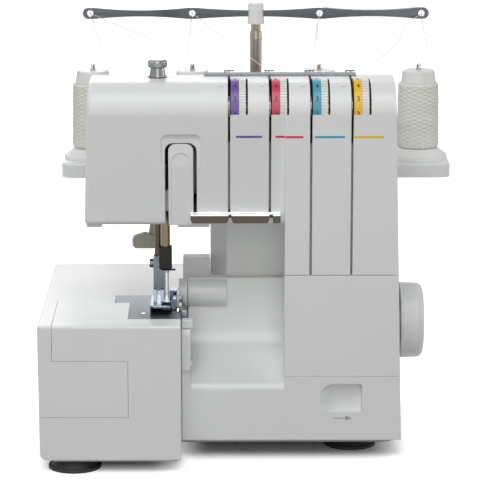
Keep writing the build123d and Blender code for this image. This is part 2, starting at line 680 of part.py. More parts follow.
def build_presser():
    bar_low = ANKLE_Z0 + ANKLE_H - 8
    bar_top = KNOB_SCREW_Z + KNOB_BORE - PRESSER_LIFT - 2
    collar_top = PRESSER_COLLAR_Z + COLLAR_H
    bar = rod_z(PRESSER_X, PRESSER_Y, bar_low, bar_top, PRESSER_BAR_R)
    bar += rod_z(PRESSER_X, PRESSER_Y, PRESSER_COLLAR_Z, collar_top, PRESSER_BAR_R + 2 * BUSH_WALL)
    save("presser_bar", bar)

    left, right = PRESSER_X - ANKLE_W / 2, PRESSER_X + ANKLE_W / 2
    seat_front, seat_back, seat_z = PRESSER_Y - 6, PRESSER_Y + 7, ANKLE_Z0 - 3
    ankle = block(left, right, PRESSER_Y - PRESSER_BAR_R - 2.5, PRESSER_Y + 2.5, ANKLE_Z0, ANKLE_Z0 + ANKLE_H)
    ankle = fillet(ankle.edges().filter_by(Axis.Y), 1.2)
    ankle += block(left, right, seat_front, seat_back, seat_z, ANKLE_Z0 + 4)
    ankle += rod_x(left - 3, left, PRESSER_Y - 1, ANKLE_Z0 + ANKLE_H - 6.5, 3.3)
    ankle -= rod_z(PRESSER_X, PRESSER_Y, bar_low, ANKLE_Z0 + 2 * ANKLE_H, PRESSER_BAR_R)
    save("presser_ankle", ankle)

    sole_top = FOOT_SOLE_Z + SOLE_T
    middle = FOOT_SOLE_Z + SOLE_T / 2
    side = FilletPolyline((SOLE_BACK, middle), (TOE_BEND, middle), (SOLE_FRONT, middle + TOE_LIFT), radius=8)
    plan = outline([(SOLE_LEFT, SOLE_FRONT), (TOE_RIGHT, SOLE_FRONT), (TOE_RIGHT, TOE_BEND),
                    (SOLE_RIGHT, TOE_BEND), (SOLE_RIGHT, SOLE_BACK), (SOLE_LEFT, SOLE_BACK)],
                   [3, 4, 0, 1, 2, 2])
    foot = prism_x(trace(side, SOLE_T), SOLE_LEFT, SOLE_RIGHT) & prism_z(plan, FOOT_SOLE_Z - 1, ANKLE_Z0)
    slot = rect(STITCH_X - 3.6, STITCH_X + 3.6, NEEDLE_Y - 9, NEEDLE_Y + 4)
    foot -= prism_z(slot, FOOT_SOLE_Z - 1, sole_top + 1)
    cheek = outline([(NEEDLE_Y + 5, sole_top - SOLE_T / 4), (PRESSER_Y - 8, seat_z), (seat_back, seat_z),
                     (SOLE_BACK - 2, sole_top - SOLE_T / 4)], [0, 2, 2, 0])
    for x in (left, right - CHEEK_T):
        foot += prism_x(cheek, x, x + CHEEK_T)
    foot += block(left, right, seat_front, seat_back, seat_z - SOLE_T, seat_z)
    finger_left = TOE_RIGHT + 0.7
    root = sole_top - SOLE_T / 4
    foot += block(finger_left, SOLE_RIGHT, TOE_BEND, NEEDLE_Y + 2, root, FOOT_SOLE_Z + FINGER_H)
    foot += block(finger_left - 3, SOLE_RIGHT, NEEDLE_Y + 7, PRESSER_Y + 1, root, FOOT_SOLE_Z + 1.3 * FINGER_H)
    save("presser_foot", foot)

    knob = rod_z(PRESSER_X, PRESSER_Y, KNOB_Z, KNOB_Z + KNOB_H, KNOB_R)
    knob = fillet(knob.edges().group_by(Axis.Z)[-1], KNOB_CROWN_R)
    knob = fillet(knob.edges().group_by(Axis.Z)[0], KNOB_CROWN_R / 2)
    knob += taper_z(PRESSER_X, PRESSER_Y, ARM_TOP + GAP, KNOB_Z, KNOB_R - 1, KNOB_R - 2.2)
    knob += rod_z(PRESSER_X, PRESSER_Y, KNOB_SCREW_Z, ARM_TOP + GAP, KNOB_SCREW_R)
    knob -= rod_z(PRESSER_X, PRESSER_Y, KNOB_SCREW_Z, KNOB_SCREW_Z + KNOB_BORE, PRESSER_BAR_R + RUN)
    save("pressure_knob", knob)

    spring_z = PRESSER_COLLAR_Z + COLLAR_H
    pitch = (KNOB_SCREW_Z - spring_z - SPRING_WIRE) / SPRING_TURNS
    start = (PRESSER_X, PRESSER_Y, spring_z + SPRING_WIRE / 2)
    coil = Helix(pitch, pitch * SPRING_TURNS, SPRING_R, center=start)
    section = Plane(coil @ 0, z_dir=coil % 0) * Circle(SPRING_WIRE / 2)
    save("presser_spring", sweep(section, coil))

    paddle_top = LIFTER_Z - LIFTER_DROP + PADDLE_H / 2
    paddle_low = paddle_top - PADDLE_H
    path = Polyline((LIFTER_X, LIFTER_Z), (LIFTER_X - 2, paddle_top + PADDLE_H / 2),
                    (LIFTER_X - 4, paddle_low + 4))
    lever = prism_y(trace(path, LIFTER_W), LIFTER_Y - LIFTER_T / 2, LIFTER_Y + LIFTER_T / 2)
    paddle = outline([(LIFTER_X - PADDLE_W, paddle_low), (LIFTER_X, paddle_low), (LIFTER_X, paddle_top - 2),
                      (LIFTER_X - PADDLE_W / 2, paddle_top), (LIFTER_X - PADDLE_W, paddle_top - 3)],
                     [4, 3, 3, 4, 3])
    lever += prism_y(paddle, LIFTER_Y - LIFTER_T, LIFTER_Y + LIFTER_T)
    lever += rod_y(LIFTER_X, LIFTER_Y - LIFTER_T / 2, LIFTER_Y + LIFTER_T / 2, LIFTER_Z, 2 * PIVOT_PIN_R)
    lever -= rod_y(LIFTER_X, LIFTER_Y - LIFTER_T, LIFTER_Y + LIFTER_T, LIFTER_Z, PIVOT_PIN_R + RUN)
    save("lifter_lever", lever)


def build_stitch_parts():
    seat_z = BED_TOP - PLATE_T
    plan = outline([(PLATE_LEFT, PLATE_FRONT), (PLATE_RIGHT, PLATE_FRONT), (PLATE_RIGHT, PLATE_BACK),
                    (PLATE_TAB_LEFT, PLATE_BACK), (PLATE_TAB_LEFT, PLATE_TAB_FRONT),
                    (PLATE_LEFT, PLATE_TAB_FRONT)],
                   [SOFT_EDGE, 0, 0, SOFT_EDGE, SOFT_EDGE, 0])
    plate = prism_z(plan, seat_z, BED_TOP)
    stitch_slot = rect(STITCH_X - 3.4, STITCH_X + 3.4, NEEDLE_Y - 2, NEEDLE_Y + 2)
    plate -= prism_z(stitch_slot, seat_z - 1, BED_TOP + 1)
    for x0, x1 in FEED_STRIPS:
        slot = rect(x0 - 0.8, x1 + 0.8, FEED_FRONT - FEED_STROKE - 1, FEED_BACK + FEED_STROKE + 1)
        plate -= prism_z(slot, seat_z - 1, BED_TOP + 1)
    knife_low = PLATE_RIGHT - 2 * BLADE_T
    blade_y0, blade_y1 = KNIFE_Y - KNIFE_W / 2, KNIFE_Y + KNIFE_W / 2
    plate -= block(knife_low - GAP, PLATE_RIGHT + 1, blade_y0 - WALL, blade_y1 + KNIFE_ROOM, seat_z - 1,
                   BED_TOP + 1)
    save("needle_plate", plate)

    dog = block(FEED_STRIPS[0][0], FEED_STRIPS[-1][1], FEED_FRONT, FEED_BACK, seat_z - 10, seat_z - 4)
    for x0, x1 in FEED_STRIPS:
        teeth = int((FEED_BACK - FEED_FRONT) / FEED_TOOTH)
        edge = [(FEED_FRONT, seat_z - 4)]
        for i in range(teeth):
            y = FEED_FRONT + FEED_TOOTH * i
            edge += [(y, BED_TOP - 0.6), (y + 0.8 * FEED_TOOTH, BED_TOP + GAP / 2)]
        edge += [(FEED_FRONT + FEED_TOOTH * teeth, seat_z - 4)]
        dog += prism_x(make_face(Polyline(*edge, close=True)), x0, x1)
    dog += rod_y(FEED_ROD_X, FEED_BACK - 2, PLATE_BACK, seat_z - 9, FEED_ROD_R)
    save("feed_dog", dog)

    low_path = FilletPolyline((LOOPER_LOW_X, LOOPER_LOW_Z), (LOOPER_LOW_X - 18, LOOPER_LOW_Z + 10),
                              (STITCH_X + 3, LOOPER_LOW_Z + 28), (STITCH_X + 2.5, LOOPER_LOW_Z + 52),
                              (STITCH_X - 5.5, LOOPER_LOW_Z + 62), radius=6)
    low = prism_y(trace(low_path, LOOPER_T), LOOPER_FRONT, LOOPER_FRONT + LOOPER_T)
    low += rod_y(LOOPER_LOW_X, LOOPER_FRONT, FRAME_FRONT - GAP, LOOPER_LOW_Z, LOOPER_HUB_R)
    low -= rod_y(LOOPER_LOW_X, LOOPER_FRONT - 1, FRAME_FRONT + 1, LOOPER_LOW_Z, LOOPER_PIN_R + RUN)
    save("lower_looper", low)

    high_front = LOOPER_FRONT - LOOPER_STEP
    high_path = FilletPolyline((LOOPER_HIGH_X, LOOPER_HIGH_Z), (LOOPER_HIGH_X - 18, LOOPER_HIGH_Z + 9),
                               (STITCH_X + 7, LOOPER_HIGH_Z + 30), (STITCH_X - 2.5, LOOPER_HIGH_Z + 49),
                               radius=6)
    high = prism_y(trace(high_path, LOOPER_T), high_front, high_front + LOOPER_T)
    high += rod_y(LOOPER_HIGH_X, high_front, FRAME_FRONT - GAP, LOOPER_HIGH_Z, LOOPER_HUB_R)
    high -= rod_y(LOOPER_HIGH_X, high_front - 1, FRAME_FRONT + 1, LOOPER_HIGH_Z, LOOPER_PIN_R + RUN)
    save("upper_looper", high)

    lip_z0 = COVER_END_TOP + KNIFE_LIP_GAP
    arm_y0, arm_y1 = KNIFE_PIVOT_Y - KNIFE_ARM_W / 2, KNIFE_PIVOT_Y + KNIFE_ARM_W / 2
    riser_y0 = COVER_FRONT + COVER_END_DEPTH + 1.5 * GAP
    riser_y1 = riser_y0 + KNIFE_RISER_W
    arm_top = KNIFE_ARM_Z + KNIFE_ARM_H
    arm = outline([(arm_y0, KNIFE_PIVOT_Z), (arm_y1, KNIFE_PIVOT_Z), (arm_y1, arm_top), (riser_y1, arm_top),
                   (riser_y1, KNIFE_LIP_Z1), (blade_y0, KNIFE_LIP_Z1), (blade_y0, lip_z0), (riser_y0, lip_z0),
                   (riser_y0, KNIFE_ARM_Z), (arm_y0, KNIFE_ARM_Z)], [0, 0, 4, 2, 1, 1, 1, 1, 2, 4])
    knife = prism_x(arm, KNIFE_ARM_X0, KNIFE_ARM_X1)
    knife += rod_x(KNIFE_ARM_X0, KNIFE_ARM_X1, KNIFE_PIVOT_Y, KNIFE_PIVOT_Z, 1.8 * PIVOT_PIN_R)
    knife -= rod_x(KNIFE_ARM_X0 - 1, KNIFE_ARM_X1 + 1, KNIFE_PIVOT_Y, KNIFE_PIVOT_Z, PIVOT_PIN_R + RUN)
    knife += block(knife_low + BLADE_T + RUN, KNIFE_ARM_X0, blade_y0, blade_y1, seat_z + GAP, KNIFE_TOP)
    save("upper_knife", knife)
    save("lower_knife", block(knife_low, knife_low + BLADE_T, blade_y0, blade_y1, BED_TOP - 18, BED_TOP))


def build_stand():
    left_front = TABLE_FRONT + WALL + GAP
    left_back = TABLE_BACK - WALL - GAP
    left = TABLE_LEFT + TABLE_DRAFT + TABLE_FOOT_R + 1
    inner = TABLE_RIGHT - 2
    back = BED_BACK - WALL
    plan = outline([(left, left_front), (inner, left_front), (inner, BASE_FRONT_RIGHT),
                    (BASE_RIGHT, BASE_FRONT_RIGHT), (BASE_RIGHT, back), (inner, back), (inner, left_back),
                    (left, left_back)],
                   [6, 2, 2, 6, 6, 2, 2, 6])
    base = prism_z(plan, FOOT_H, BASE_TOP)
    for x in BRACKET_XS:
        base += block(x, x + KNUCKLE_L, BASE_FRONT_RIGHT, BASE_FRONT_RIGHT + 4, BASE_TOP, HINGE_Z + 4)
        base += block(x, x + KNUCKLE_L, HINGE_Y, BASE_FRONT_RIGHT + 4, HINGE_Z - 3.5, HINGE_Z + 3.5)
        base += rod_x(x, x + KNUCKLE_L, HINGE_Y, HINGE_Z, KNUCKLE_R)
        base -= rod_x(x - 1, x + KNUCKLE_L + 1, HINGE_Y, HINGE_Z, HINGE_ROD_R + RUN)
    save("base_plate", base)

    feet = []
    for x, y in FOOT_PLACES:
        pad = rod_z(x, y, 0, FOOT_RIM, FOOT_D / 2)
        pad = fillet(pad.edges().group_by(Axis.Z)[-1], FOOT_RIM / 2)
        pad += taper_z(x, y, FOOT_RIM, FOOT_H, FOOT_D / 2 - FOOT_RIM, FOOT_NECK_D / 2)
        pad -= taper_z(x, y, 0, 2, FOOT_D / 4, FOOT_D / 4 - 1)
        feet.append(pad)
    save("rubber_feet", *feet)


def half_nose(x0, x1):
    """Half-round nose under the arm, flat at its back."""
    back = COVER_BACK - COVER_WALL / 2
    behind = block(x0, x1, back, back + 2 * NOSE_R, NOSE_Z - 2 * NOSE_R, NOSE_Z + 2 * NOSE_R)
    return rod_x(x0, x1, back, NOSE_Z, NOSE_R) - behind


def nose_end():
    """Fixed left end of the nose, which carries on over the table's edge."""
    right = COVER_LEFT - GAP
    end = half_nose(NOSE_LEFT, right)
    over_table = block(NOSE_LEFT - 1, BED_LEFT, TABLE_FRONT, COLUMN_FRONT, BASE_TOP, BED_TOP + 6 * GAP)
    root = block(BED_LEFT, right, COVER_BACK - COVER_WALL, COLUMN_FRONT + 1, NOSE_Z - NOSE_R + 1, BED_LOW_TOP)
    return end - over_table + root


def build_bed_housing():
    low_left = COLUMN_LEFT - COLUMN_CHAMFER_X
    far = BODY_RIGHT_LOW + 2 * WALL

    def envelope(inset):
        floor = BASE_TOP - (1 if inset else 0)
        front, back = COLUMN_FRONT + inset, BED_BACK - inset
        body = block(low_left + inset, far, front, back, floor, COLUMN_BOTTOM - inset)
        body += block(BED_LEFT + inset, low_left + inset, front, back, floor, BED_LOW_TOP - inset)
        body &= side_trim(inset)
        bulge_right = right_edge(COLUMN_BOTTOM) - COVER_WALL - 2
        bulge = block(BULGE_LEFT + inset, bulge_right - inset, BULGE_FRONT + inset, COLUMN_FRONT + 2 * WALL,
                      floor, COLUMN_BOTTOM - inset)
        return body + bulge

    outer = envelope(0)
    step_front = COLUMN_FRONT + 2 * WALL
    outer += block(BED_LEFT, low_left - GAP, step_front, step_front + REAR_STEP_DEPTH, BED_LOW_TOP - WALL,
                   REAR_STEP_TOP)
    outer += nose_end()
    shell = outer - envelope(WALL)
    shell -= prism_z(column_plan(WALL), COLUMN_BOTTOM - 2 * WALL, COLUMN_BOTTOM + 1) & side_trim(WALL)
    shell -= block(PILLAR_X0 - GAP, FRAME_RIGHT + GAP, COLUMN_FRONT - 1, COLUMN_FRONT + 2 * WALL,
                   BASE_TOP - 1, FRAME_LOW_TOP + GAP)
    shell -= rod_x(BED_RIGHT - 4 * WALL, far, SHAFT_Y, SHAFT_Z, SHAFT_R + 1)
    shell -= block(BED_RIGHT - 4 * WALL, far, INLET_Y0, INLET_Y1, INLET_Z0, INLET_Z1)
    shell -= block(BED_RIGHT - 4 * WALL, far, SWITCH_Y0 - GAP, SWITCH_Y1 + GAP, SWITCH_Z0 - SWITCH_ROOM,
                   SWITCH_Z1 + SWITCH_ROOM)
    save("bed_housing", shell)

    side = right_edge(INLET_Z0)
    inlet = block(side - 16, side + 1, INLET_Y0, INLET_Y1, INLET_Z0, INLET_Z1)
    inlet -= block(side - 13, side + 2, INLET_Y0 + 2, INLET_Y1 - 2, INLET_Z0 + 2, INLET_Z1 - 2)
    mid = (INLET_Y0 + INLET_Y1) / 2
    for y in (mid - 4, mid + 4):
        inlet += rod_x(side - 14, side - 4, y, (INLET_Z0 + INLET_Z1) / 2, 1.2)
    save("power_inlet", inlet)

    side = right_edge(SWITCH_Z0)
    rocker = outline([(side - 8, SWITCH_Z0), (side + 1.5, SWITCH_Z0), (side - 0.5, (SWITCH_Z0 + SWITCH_Z1) / 2),
                      (side + 1.5, SWITCH_Z1), (side - 8, SWITCH_Z1)], [0, 1, 8, 1, 0])
    switch = prism_y(rocker, SWITCH_Y0, SWITCH_Y1)
    pin_z = (SWITCH_Z0 + SWITCH_Z1) / 2
    switch -= rod_y(SWITCH_X, SWITCH_Y0 - 1, SWITCH_Y1 + 1, pin_z, SWITCH_PIN_R + RUN)
    switch -= block(side - 10, SWITCH_X - 3, SWITCH_Y0 - 1, SWITCH_Y1 + 1, SWITCH_Z0 - 1, SWITCH_Z1 + 1)
    save("power_switch", switch)
    frame = block(SWITCH_X - 2, SWITCH_X + 2, SWITCH_Y0 - 4, SWITCH_Y0 - GAP, pin_z - 4, pin_z + 4)
    frame += block(SWITCH_X - 2, SWITCH_X + 2, SWITCH_Y1 + GAP, SWITCH_Y1 + 4, pin_z - 4, pin_z + 4)
    frame += rod_y(SWITCH_X, SWITCH_Y0 - 4, SWITCH_Y1 + 4, pin_z, SWITCH_PIN_R)
    save("switch_pin", frame)


def build_looper_cover():
    half = COVER_WALL / 2
    sheet = FilletPolyline((COVER_FRONT + half, COVER_BOTTOM), (COVER_FRONT + half, COVER_LEDGE_Z - half),
                           (COVE_Y, COVE_Z), (COVER_BACK - half, COLUMN_BOTTOM - GAP), radius=[5, 16])
    cover = prism_x(trace(sheet, COVER_WALL), COVER_LEFT, STEP_X + COVER_WALL)
    far = BODY_RIGHT_LOW + 2 * WALL

    def right_form(inset):
        """Closed right part; its top follows the radius on which the cover swings open."""
        low = COVER_BOTTOM - (1 if inset else 0)
        back = COVER_BACK + (1 if inset else 0)
        form = block(STEP_X + inset, far, COVER_FRONT + inset, back, low, SEAM_Z) & side_trim(inset)
        return form & rod_x(STEP_X, far, HINGE_Y, HINGE_Z, SEAM_Z - GAP - HINGE_Z - inset)

    cover += right_form(0) - right_form(COVER_WALL)
    floor_y = COVER_FRONT + RECESS_DEPTH
    cover += prism_y(recess_outline(COVER_WALL), COVER_FRONT + half, floor_y + COVER_WALL)
    ramp = outline([(RECESS_X0, COVER_FRONT - 1), (RECESS_X0, COVER_FRONT), (RECESS_X0 + RECESS_RAMP, floor_y),
                    (RECESS_X1 + 1, floor_y), (RECESS_X1 + 1, COVER_FRONT - 1)], [0, 0, RECESS_RAMP, 0, 0])
    cover -= prism_y(recess_outline(0), COVER_FRONT - 1, floor_y) & prism_z(ramp, COVER_BOTTOM, SEAM_Z)
    crease_y = COVER_FRONT + CREASE_DEPTH
    cover -= block(STEP_X + 1, far, COVER_FRONT - 1, crease_y, CREASE_Z - CREASE_DEPTH, CREASE_Z)

    end_back = COVER_FRONT + COVER_END_DEPTH
    end = outline([(COVER_FRONT, COVER_BOTTOM), (COVER_FRONT, COVER_END_TOP), (end_back, COVER_END_TOP),
                   (end_back, COVER_BOTTOM)], [0, 8, 4, 0])
    end_right = COVER_LEFT + COVER_WALL
    cover += prism_x(end, BED_LEFT, end_right)
    rail_y = COVER_FRONT + COVER_WALL / 5
    rail = block(BED_LEFT, RAIL_RIGHT, rail_y, rail_y + RAIL_DEPTH, COVER_END_TOP - 2, COVER_END_TOP + RAIL_H)
    catch = block(BED_LEFT, LATCH_RIGHT, COVER_FRONT - LATCH_OUT, COVER_FRONT + 1, LATCH_Z0, LATCH_Z1)
    notch = block(end_right, LATCH_RIGHT, COVER_FRONT - LATCH_OUT, COVER_FRONT + 1, LATCH_Z0, LATCH_Z1 - 3)
    cover += catch - notch
    cover += half_nose(COVER_LEFT, COLUMN_LEFT)

    for x in KNUCKLE_XS:
        cover += block(x, x + KNUCKLE_L, COVER_FRONT + half, HINGE_Y, HINGE_Z - 3.5, HINGE_Z + 3.5)
        cover += rod_x(x, x + KNUCKLE_L, HINGE_Y, HINGE_Z, KNUCKLE_R)
    rod_room = rod_x(COVER_LEFT + 2 * COVER_WALL, far, HINGE_Y, HINGE_Z, HINGE_ROD_R + RUN)
    cover -= rod_room & side_trim(2 * COVER_WALL)
    save("looper_cover", cover, fillet(rail.edges().filter_by(Axis.X), 1) - cover)
    rod_x0, rod_x1 = BRACKET_XS[0] - 4, BRACKET_XS[-1] + KNUCKLE_L + 1
    save("cover_hinge_rod", rod_x(rod_x0, rod_x1, HINGE_Y, HINGE_Z, HINGE_ROD_R))


def recess_outline(grow):
    """Finger recess: round at the left, straight at the right."""
    r = (RECESS_Z1 - RECESS_Z0) / 2 + grow
    return outline([(RECESS_X0 - grow, RECESS_Z0 - grow), (RECESS_X1 + grow, RECESS_Z0 - grow),
                    (RECESS_X1 + grow, RECESS_Z1 + grow), (RECESS_X0 - grow, RECESS_Z1 + grow)],
                   [0.95 * r, 2, 2, 0.95 * r])


def table_form():
    """Outer form of the table with the drawer in it: round edges, left end leaning in to the bottom."""
    end = outline([(TABLE_LEFT + TABLE_DRAFT, TABLE_BOTTOM), (TABLE_LEFT, BED_TOP), (TABLE_RIGHT, BED_TOP),
                   (TABLE_RIGHT, TABLE_BOTTOM)], [TABLE_FOOT_R, SOFT_EDGE, 0, 0])
    side = outline([(TABLE_FRONT, TABLE_BOTTOM), (TABLE_FRONT, BED_TOP), (TABLE_BACK, BED_TOP),
                    (TABLE_BACK, TABLE_BOTTOM)], [0, SOFT_EDGE, SOFT_EDGE, 0])
    plan = outline([(TABLE_LEFT, TABLE_FRONT), (TABLE_RIGHT, TABLE_FRONT), (TABLE_RIGHT, TABLE_BACK),
                    (TABLE_LEFT, TABLE_BACK)], [TABLE_CORNER_R, 0, 0, TABLE_CORNER_R])
    form = prism_y(end, TABLE_FRONT, TABLE_BACK) & prism_x(side, TABLE_LEFT, TABLE_RIGHT)
    return form & prism_z(plan, TABLE_BOTTOM, BED_TOP)


def build_table():
    form = table_form()
    left = TABLE_LEFT + TABLE_DRAFT + TABLE_FOOT_R
    inner_front = TABLE_FRONT + WALL
    inner_top = BED_TOP - WALL
    body = form - block(left, TABLE_RIGHT + 1, inner_front, TABLE_BACK - WALL, TABLE_BOTTOM - 1, inner_top)
    body += block(TABLE_RIGHT - WALL, TABLE_RIGHT, inner_front, COVER_FRONT, BASE_TOP + GAP, inner_top)
    seam = GAP / 2
    for plate_left, plate_front in ((PLATE_LEFT, PLATE_FRONT), (PLATE_TAB_LEFT, PLATE_TAB_FRONT)):
        body -= block(plate_left - seam, TABLE_RIGHT + 1, plate_front - seam, PLATE_BACK + seam,
                      BED_TOP - 2 * WALL, BED_TOP + 1)

    room_right = DRAWER_RIGHT + DRAWER_GAP
    drawer_back = TABLE_FRONT + DRAWER_DEPTH
    room_back = drawer_back + DRAWER_GAP
    room_low = DRAWER_Z0 - DRAWER_GAP
    room_top = DRAWER_Z1 + DRAWER_GAP
    cap_right = TABLE_LEFT + DRAWER_CAP
    shelf = block(left - 1, room_right + WALL, inner_front, room_back + WALL, room_low - WALL, inner_top)
    shelf -= block(left - 1, room_right, inner_front, room_back, room_low, BED_TOP)
    shelf -= block(room_right, room_right + WALL, inner_front, room_back, room_top, BED_TOP)
    body += shelf
    body -= block(TABLE_LEFT - 1, room_right, TABLE_FRONT - 1, room_back, room_low, room_top)
    body -= block(TABLE_LEFT - 1, cap_right + DRAWER_GAP, TABLE_FRONT - 1, room_back, room_low, BED_TOP + 1)
    save("extension_table", body)

    outside = block(TABLE_LEFT, DRAWER_RIGHT, TABLE_FRONT, drawer_back, DRAWER_Z0, DRAWER_Z1)
    outside += block(TABLE_LEFT, cap_right, TABLE_FRONT, drawer_back, DRAWER_Z0, BED_TOP)
    drawer = outside & form
    drawer -= block(cap_right + DRAWER_WALL, DRAWER_RIGHT - DRAWER_WALL, TABLE_FRONT + DRAWER_WALL,
                    drawer_back - DRAWER_WALL, DRAWER_Z0 + DRAWER_WALL, DRAWER_Z1 + 1)
    save("accessory_drawer", drawer)


def build_drive():
    width = WHEEL_X1 - WHEEL_X0
    shaft_in = width - WHEEL_EDGE_R
    save("main_shaft", rod_x(PILLAR_X0 - 2, WHEEL_X0 + shaft_in, SHAFT_Y, SHAFT_Z, SHAFT_R))

    rim_in = WHEEL_R - WHEEL_WALL
    profile = FilletPolyline((0, rim_in), (0, WHEEL_R), (width, WHEEL_R - 0.6), (width, 0), (shaft_in, 0),
                             (shaft_in, SHAFT_R), (-WHEEL_HUB_OUT, SHAFT_R), (-WHEEL_HUB_OUT, WHEEL_HUB_R),
                             (width / 2, WHEEL_HUB_R), (width - 2 * WHEEL_WALL, rim_in),
                             radius=[1, 1, WHEEL_EDGE_R, 0, 0, 0, 0, 1, 2, 4], close=True)
    wheel = revolve(Plane.XY * make_face(profile), Axis.X)
    save("handwheel", Pos(WHEEL_X0, SHAFT_Y, SHAFT_Z) * wheel)

    mid = PULLEY_X + PULLEY_W / 2
    save("driven_pulley", grooved(PULLEY_R, SHAFT_R, SHAFT_Y, SHAFT_Z))
    save("motor_pulley", grooved(MOTOR_PULLEY_R, MOTOR_SHAFT_R + RUN, MOTOR_Y, MOTOR_Z))

    belt_rings = [Pos(SHAFT_Y, SHAFT_Z) * Circle(PULLEY_R + BELT_CLEAR),
                  Pos(MOTOR_Y, MOTOR_Z) * Circle(MOTOR_PULLEY_R + BELT_CLEAR)]
    inside = make_hull([edge for ring in belt_rings for edge in ring.edges()])
    outside = offset(inside, BELT_T)
    save("drive_belt", prism_x(outside - inside, mid - BELT_W / 2, mid + BELT_W / 2))

    motor_x1 = PULLEY_X - 6
    motor = rod_x(motor_x1 - MOTOR_L, motor_x1, MOTOR_Y, MOTOR_Z, MOTOR_R)
    motor = fillet(motor.edges().filter_by(GeomType.CIRCLE), 4)
    motor += rod_x(motor_x1 - 2, PULLEY_X + PULLEY_W + 2, MOTOR_Y, MOTOR_Z, MOTOR_SHAFT_R)
    for x in (motor_x1 - MOTOR_L + 10, motor_x1 - 16):
        motor += block(x, x + 6, MOTOR_Y - MOTOR_R + 4, MOTOR_Y + MOTOR_R - 4, BASE_TOP, MOTOR_Z - MOTOR_R / 2)
    save("motor", motor)


def grooved(r, bore, y, z):
    """Flat-belt pulley with two flanges, turned about X."""
    half = (PULLEY_W - BELT_W) / 2 - BELT_CLEAR
    wheel = rod_x(PULLEY_X, PULLEY_X + PULLEY_W, y, z, r)
    for x in (PULLEY_X, PULLEY_X + PULLEY_W - half):
        wheel += rod_x(x, x + half, y, z, r + BELT_T / 2)
    return wheel - rod_x(PULLEY_X - 1, PULLEY_X + PULLEY_W + 1, y, z, bore)


def build_dials():
    for i, x in enumerate(SLOT_XS):
        band_x = x + SLOT_W / 2 + GAP
        dial = rod_x(band_x, band_x + BAND_W, DIAL_Y, DIAL_Z, DIAL_R)
        knurl = rod_x(band_x + BAND_W, band_x + BAND_W + KNURL_W, DIAL_Y, DIAL_Z, DIAL_R)
        groove = block(band_x + BAND_W, band_x + BAND_W + KNURL_W + 1, -KNURL_GROOVE / 2, KNURL_GROOVE / 2,
                       DIAL_R - KNURL_DEPTH, DIAL_R + 1)
        knurl -= [Pos(0, DIAL_Y, DIAL_Z) * Rot(360 / KNURL_TEETH * k, 0, 0) * groove for k in range(KNURL_TEETH)]
        dial = dial + knurl - rod_x(x, x + DIAL_PITCH, DIAL_Y, DIAL_Z, SPINDLE_R + RUN)
        save(f"tension_dial_{i + 1}", dial)

    first, last = SLOT_XS[0] - 8, SLOT_XS[-1] + BAND_W + KNURL_W + 8
    spindle = rod_x(first, last, DIAL_Y, DIAL_Z, SPINDLE_R)
    for x in (first - WALL, last):
        ear = block(x, x + WALL, DIAL_Y - 6, DIAL_Y + 6, DIAL_Z - 6, ARM_TOP - WALL)
        spindle += ear & casing_envelope(WALL)
    discs = []
    for x in SLOT_XS:
        for side in (-1, 0):
            x0 = x + SLOT_W / 4 * (1 if side else -1) - DISC_T / 2
            disc = rod_x(x0, x0 + DISC_T, DIAL_Y, DIAL_Z, DISC_R)
            discs.append(disc - rod_x(x0 - 1, x0 + 2, DIAL_Y, DIAL_Z, SPINDLE_R))
    save("dial_spindle", spindle)
    save("tension_discs", *discs)


def build_guides():
    fold = GUIDE_Y - 1
    lip = FilletPolyline((GUIDE_Y - 6, ARM_TOP + GUIDE_T / 2), (fold, ARM_TOP + GUIDE_T / 2),
                         (fold, ARM_TOP + HOOK_H - GUIDE_T), radius=GUIDE_T)
    plate = prism_x(trace(lip, GUIDE_T), TOP_GUIDE_X0, TOP_GUIDE_X1)
    for x in SLOT_XS:
        hook = Polyline((x - 3, ARM_TOP + GUIDE_T), (x - 3, ARM_TOP + HOOK_H), (x + 4, ARM_TOP + HOOK_H))
        plate += prism_y(trace(hook, GUIDE_T), fold - GUIDE_T / 2, fold + GUIDE_T / 2)
    save("top_thread_guide", plate)

    front = face_y(SLOT_SHORT_Z)
    bar_z = SLOT_SHORT_Z - 1
    lip_low = bar_z - 6
    whole = block(GUIDE_SPANS[0][0], GUIDE_SPANS[-1][1], front - 0.6, front + 0.6, bar_z - 3, SLOT_SHORT_Z)
    for x0, x1 in GUIDE_SPANS:
        lip = FilletPolyline((front, bar_z), (front - 4, bar_z), (front - 6, lip_low), radius=2)
        round_end = min(4.5, (x1 - x0) / 3)
        form = outline([(x0, lip_low - 1), (x1, lip_low - 1), (x1, SLOT_SHORT_Z), (x0, SLOT_SHORT_Z)],
                       [round_end, round_end, 0, 0])
        whole += prism_x(trace(lip, GUIDE_T), x0, x1) & prism_y(form, front - 8, front + 1)
    whole -= casing_envelope(0)
    save("needle_thread_guide", whole)


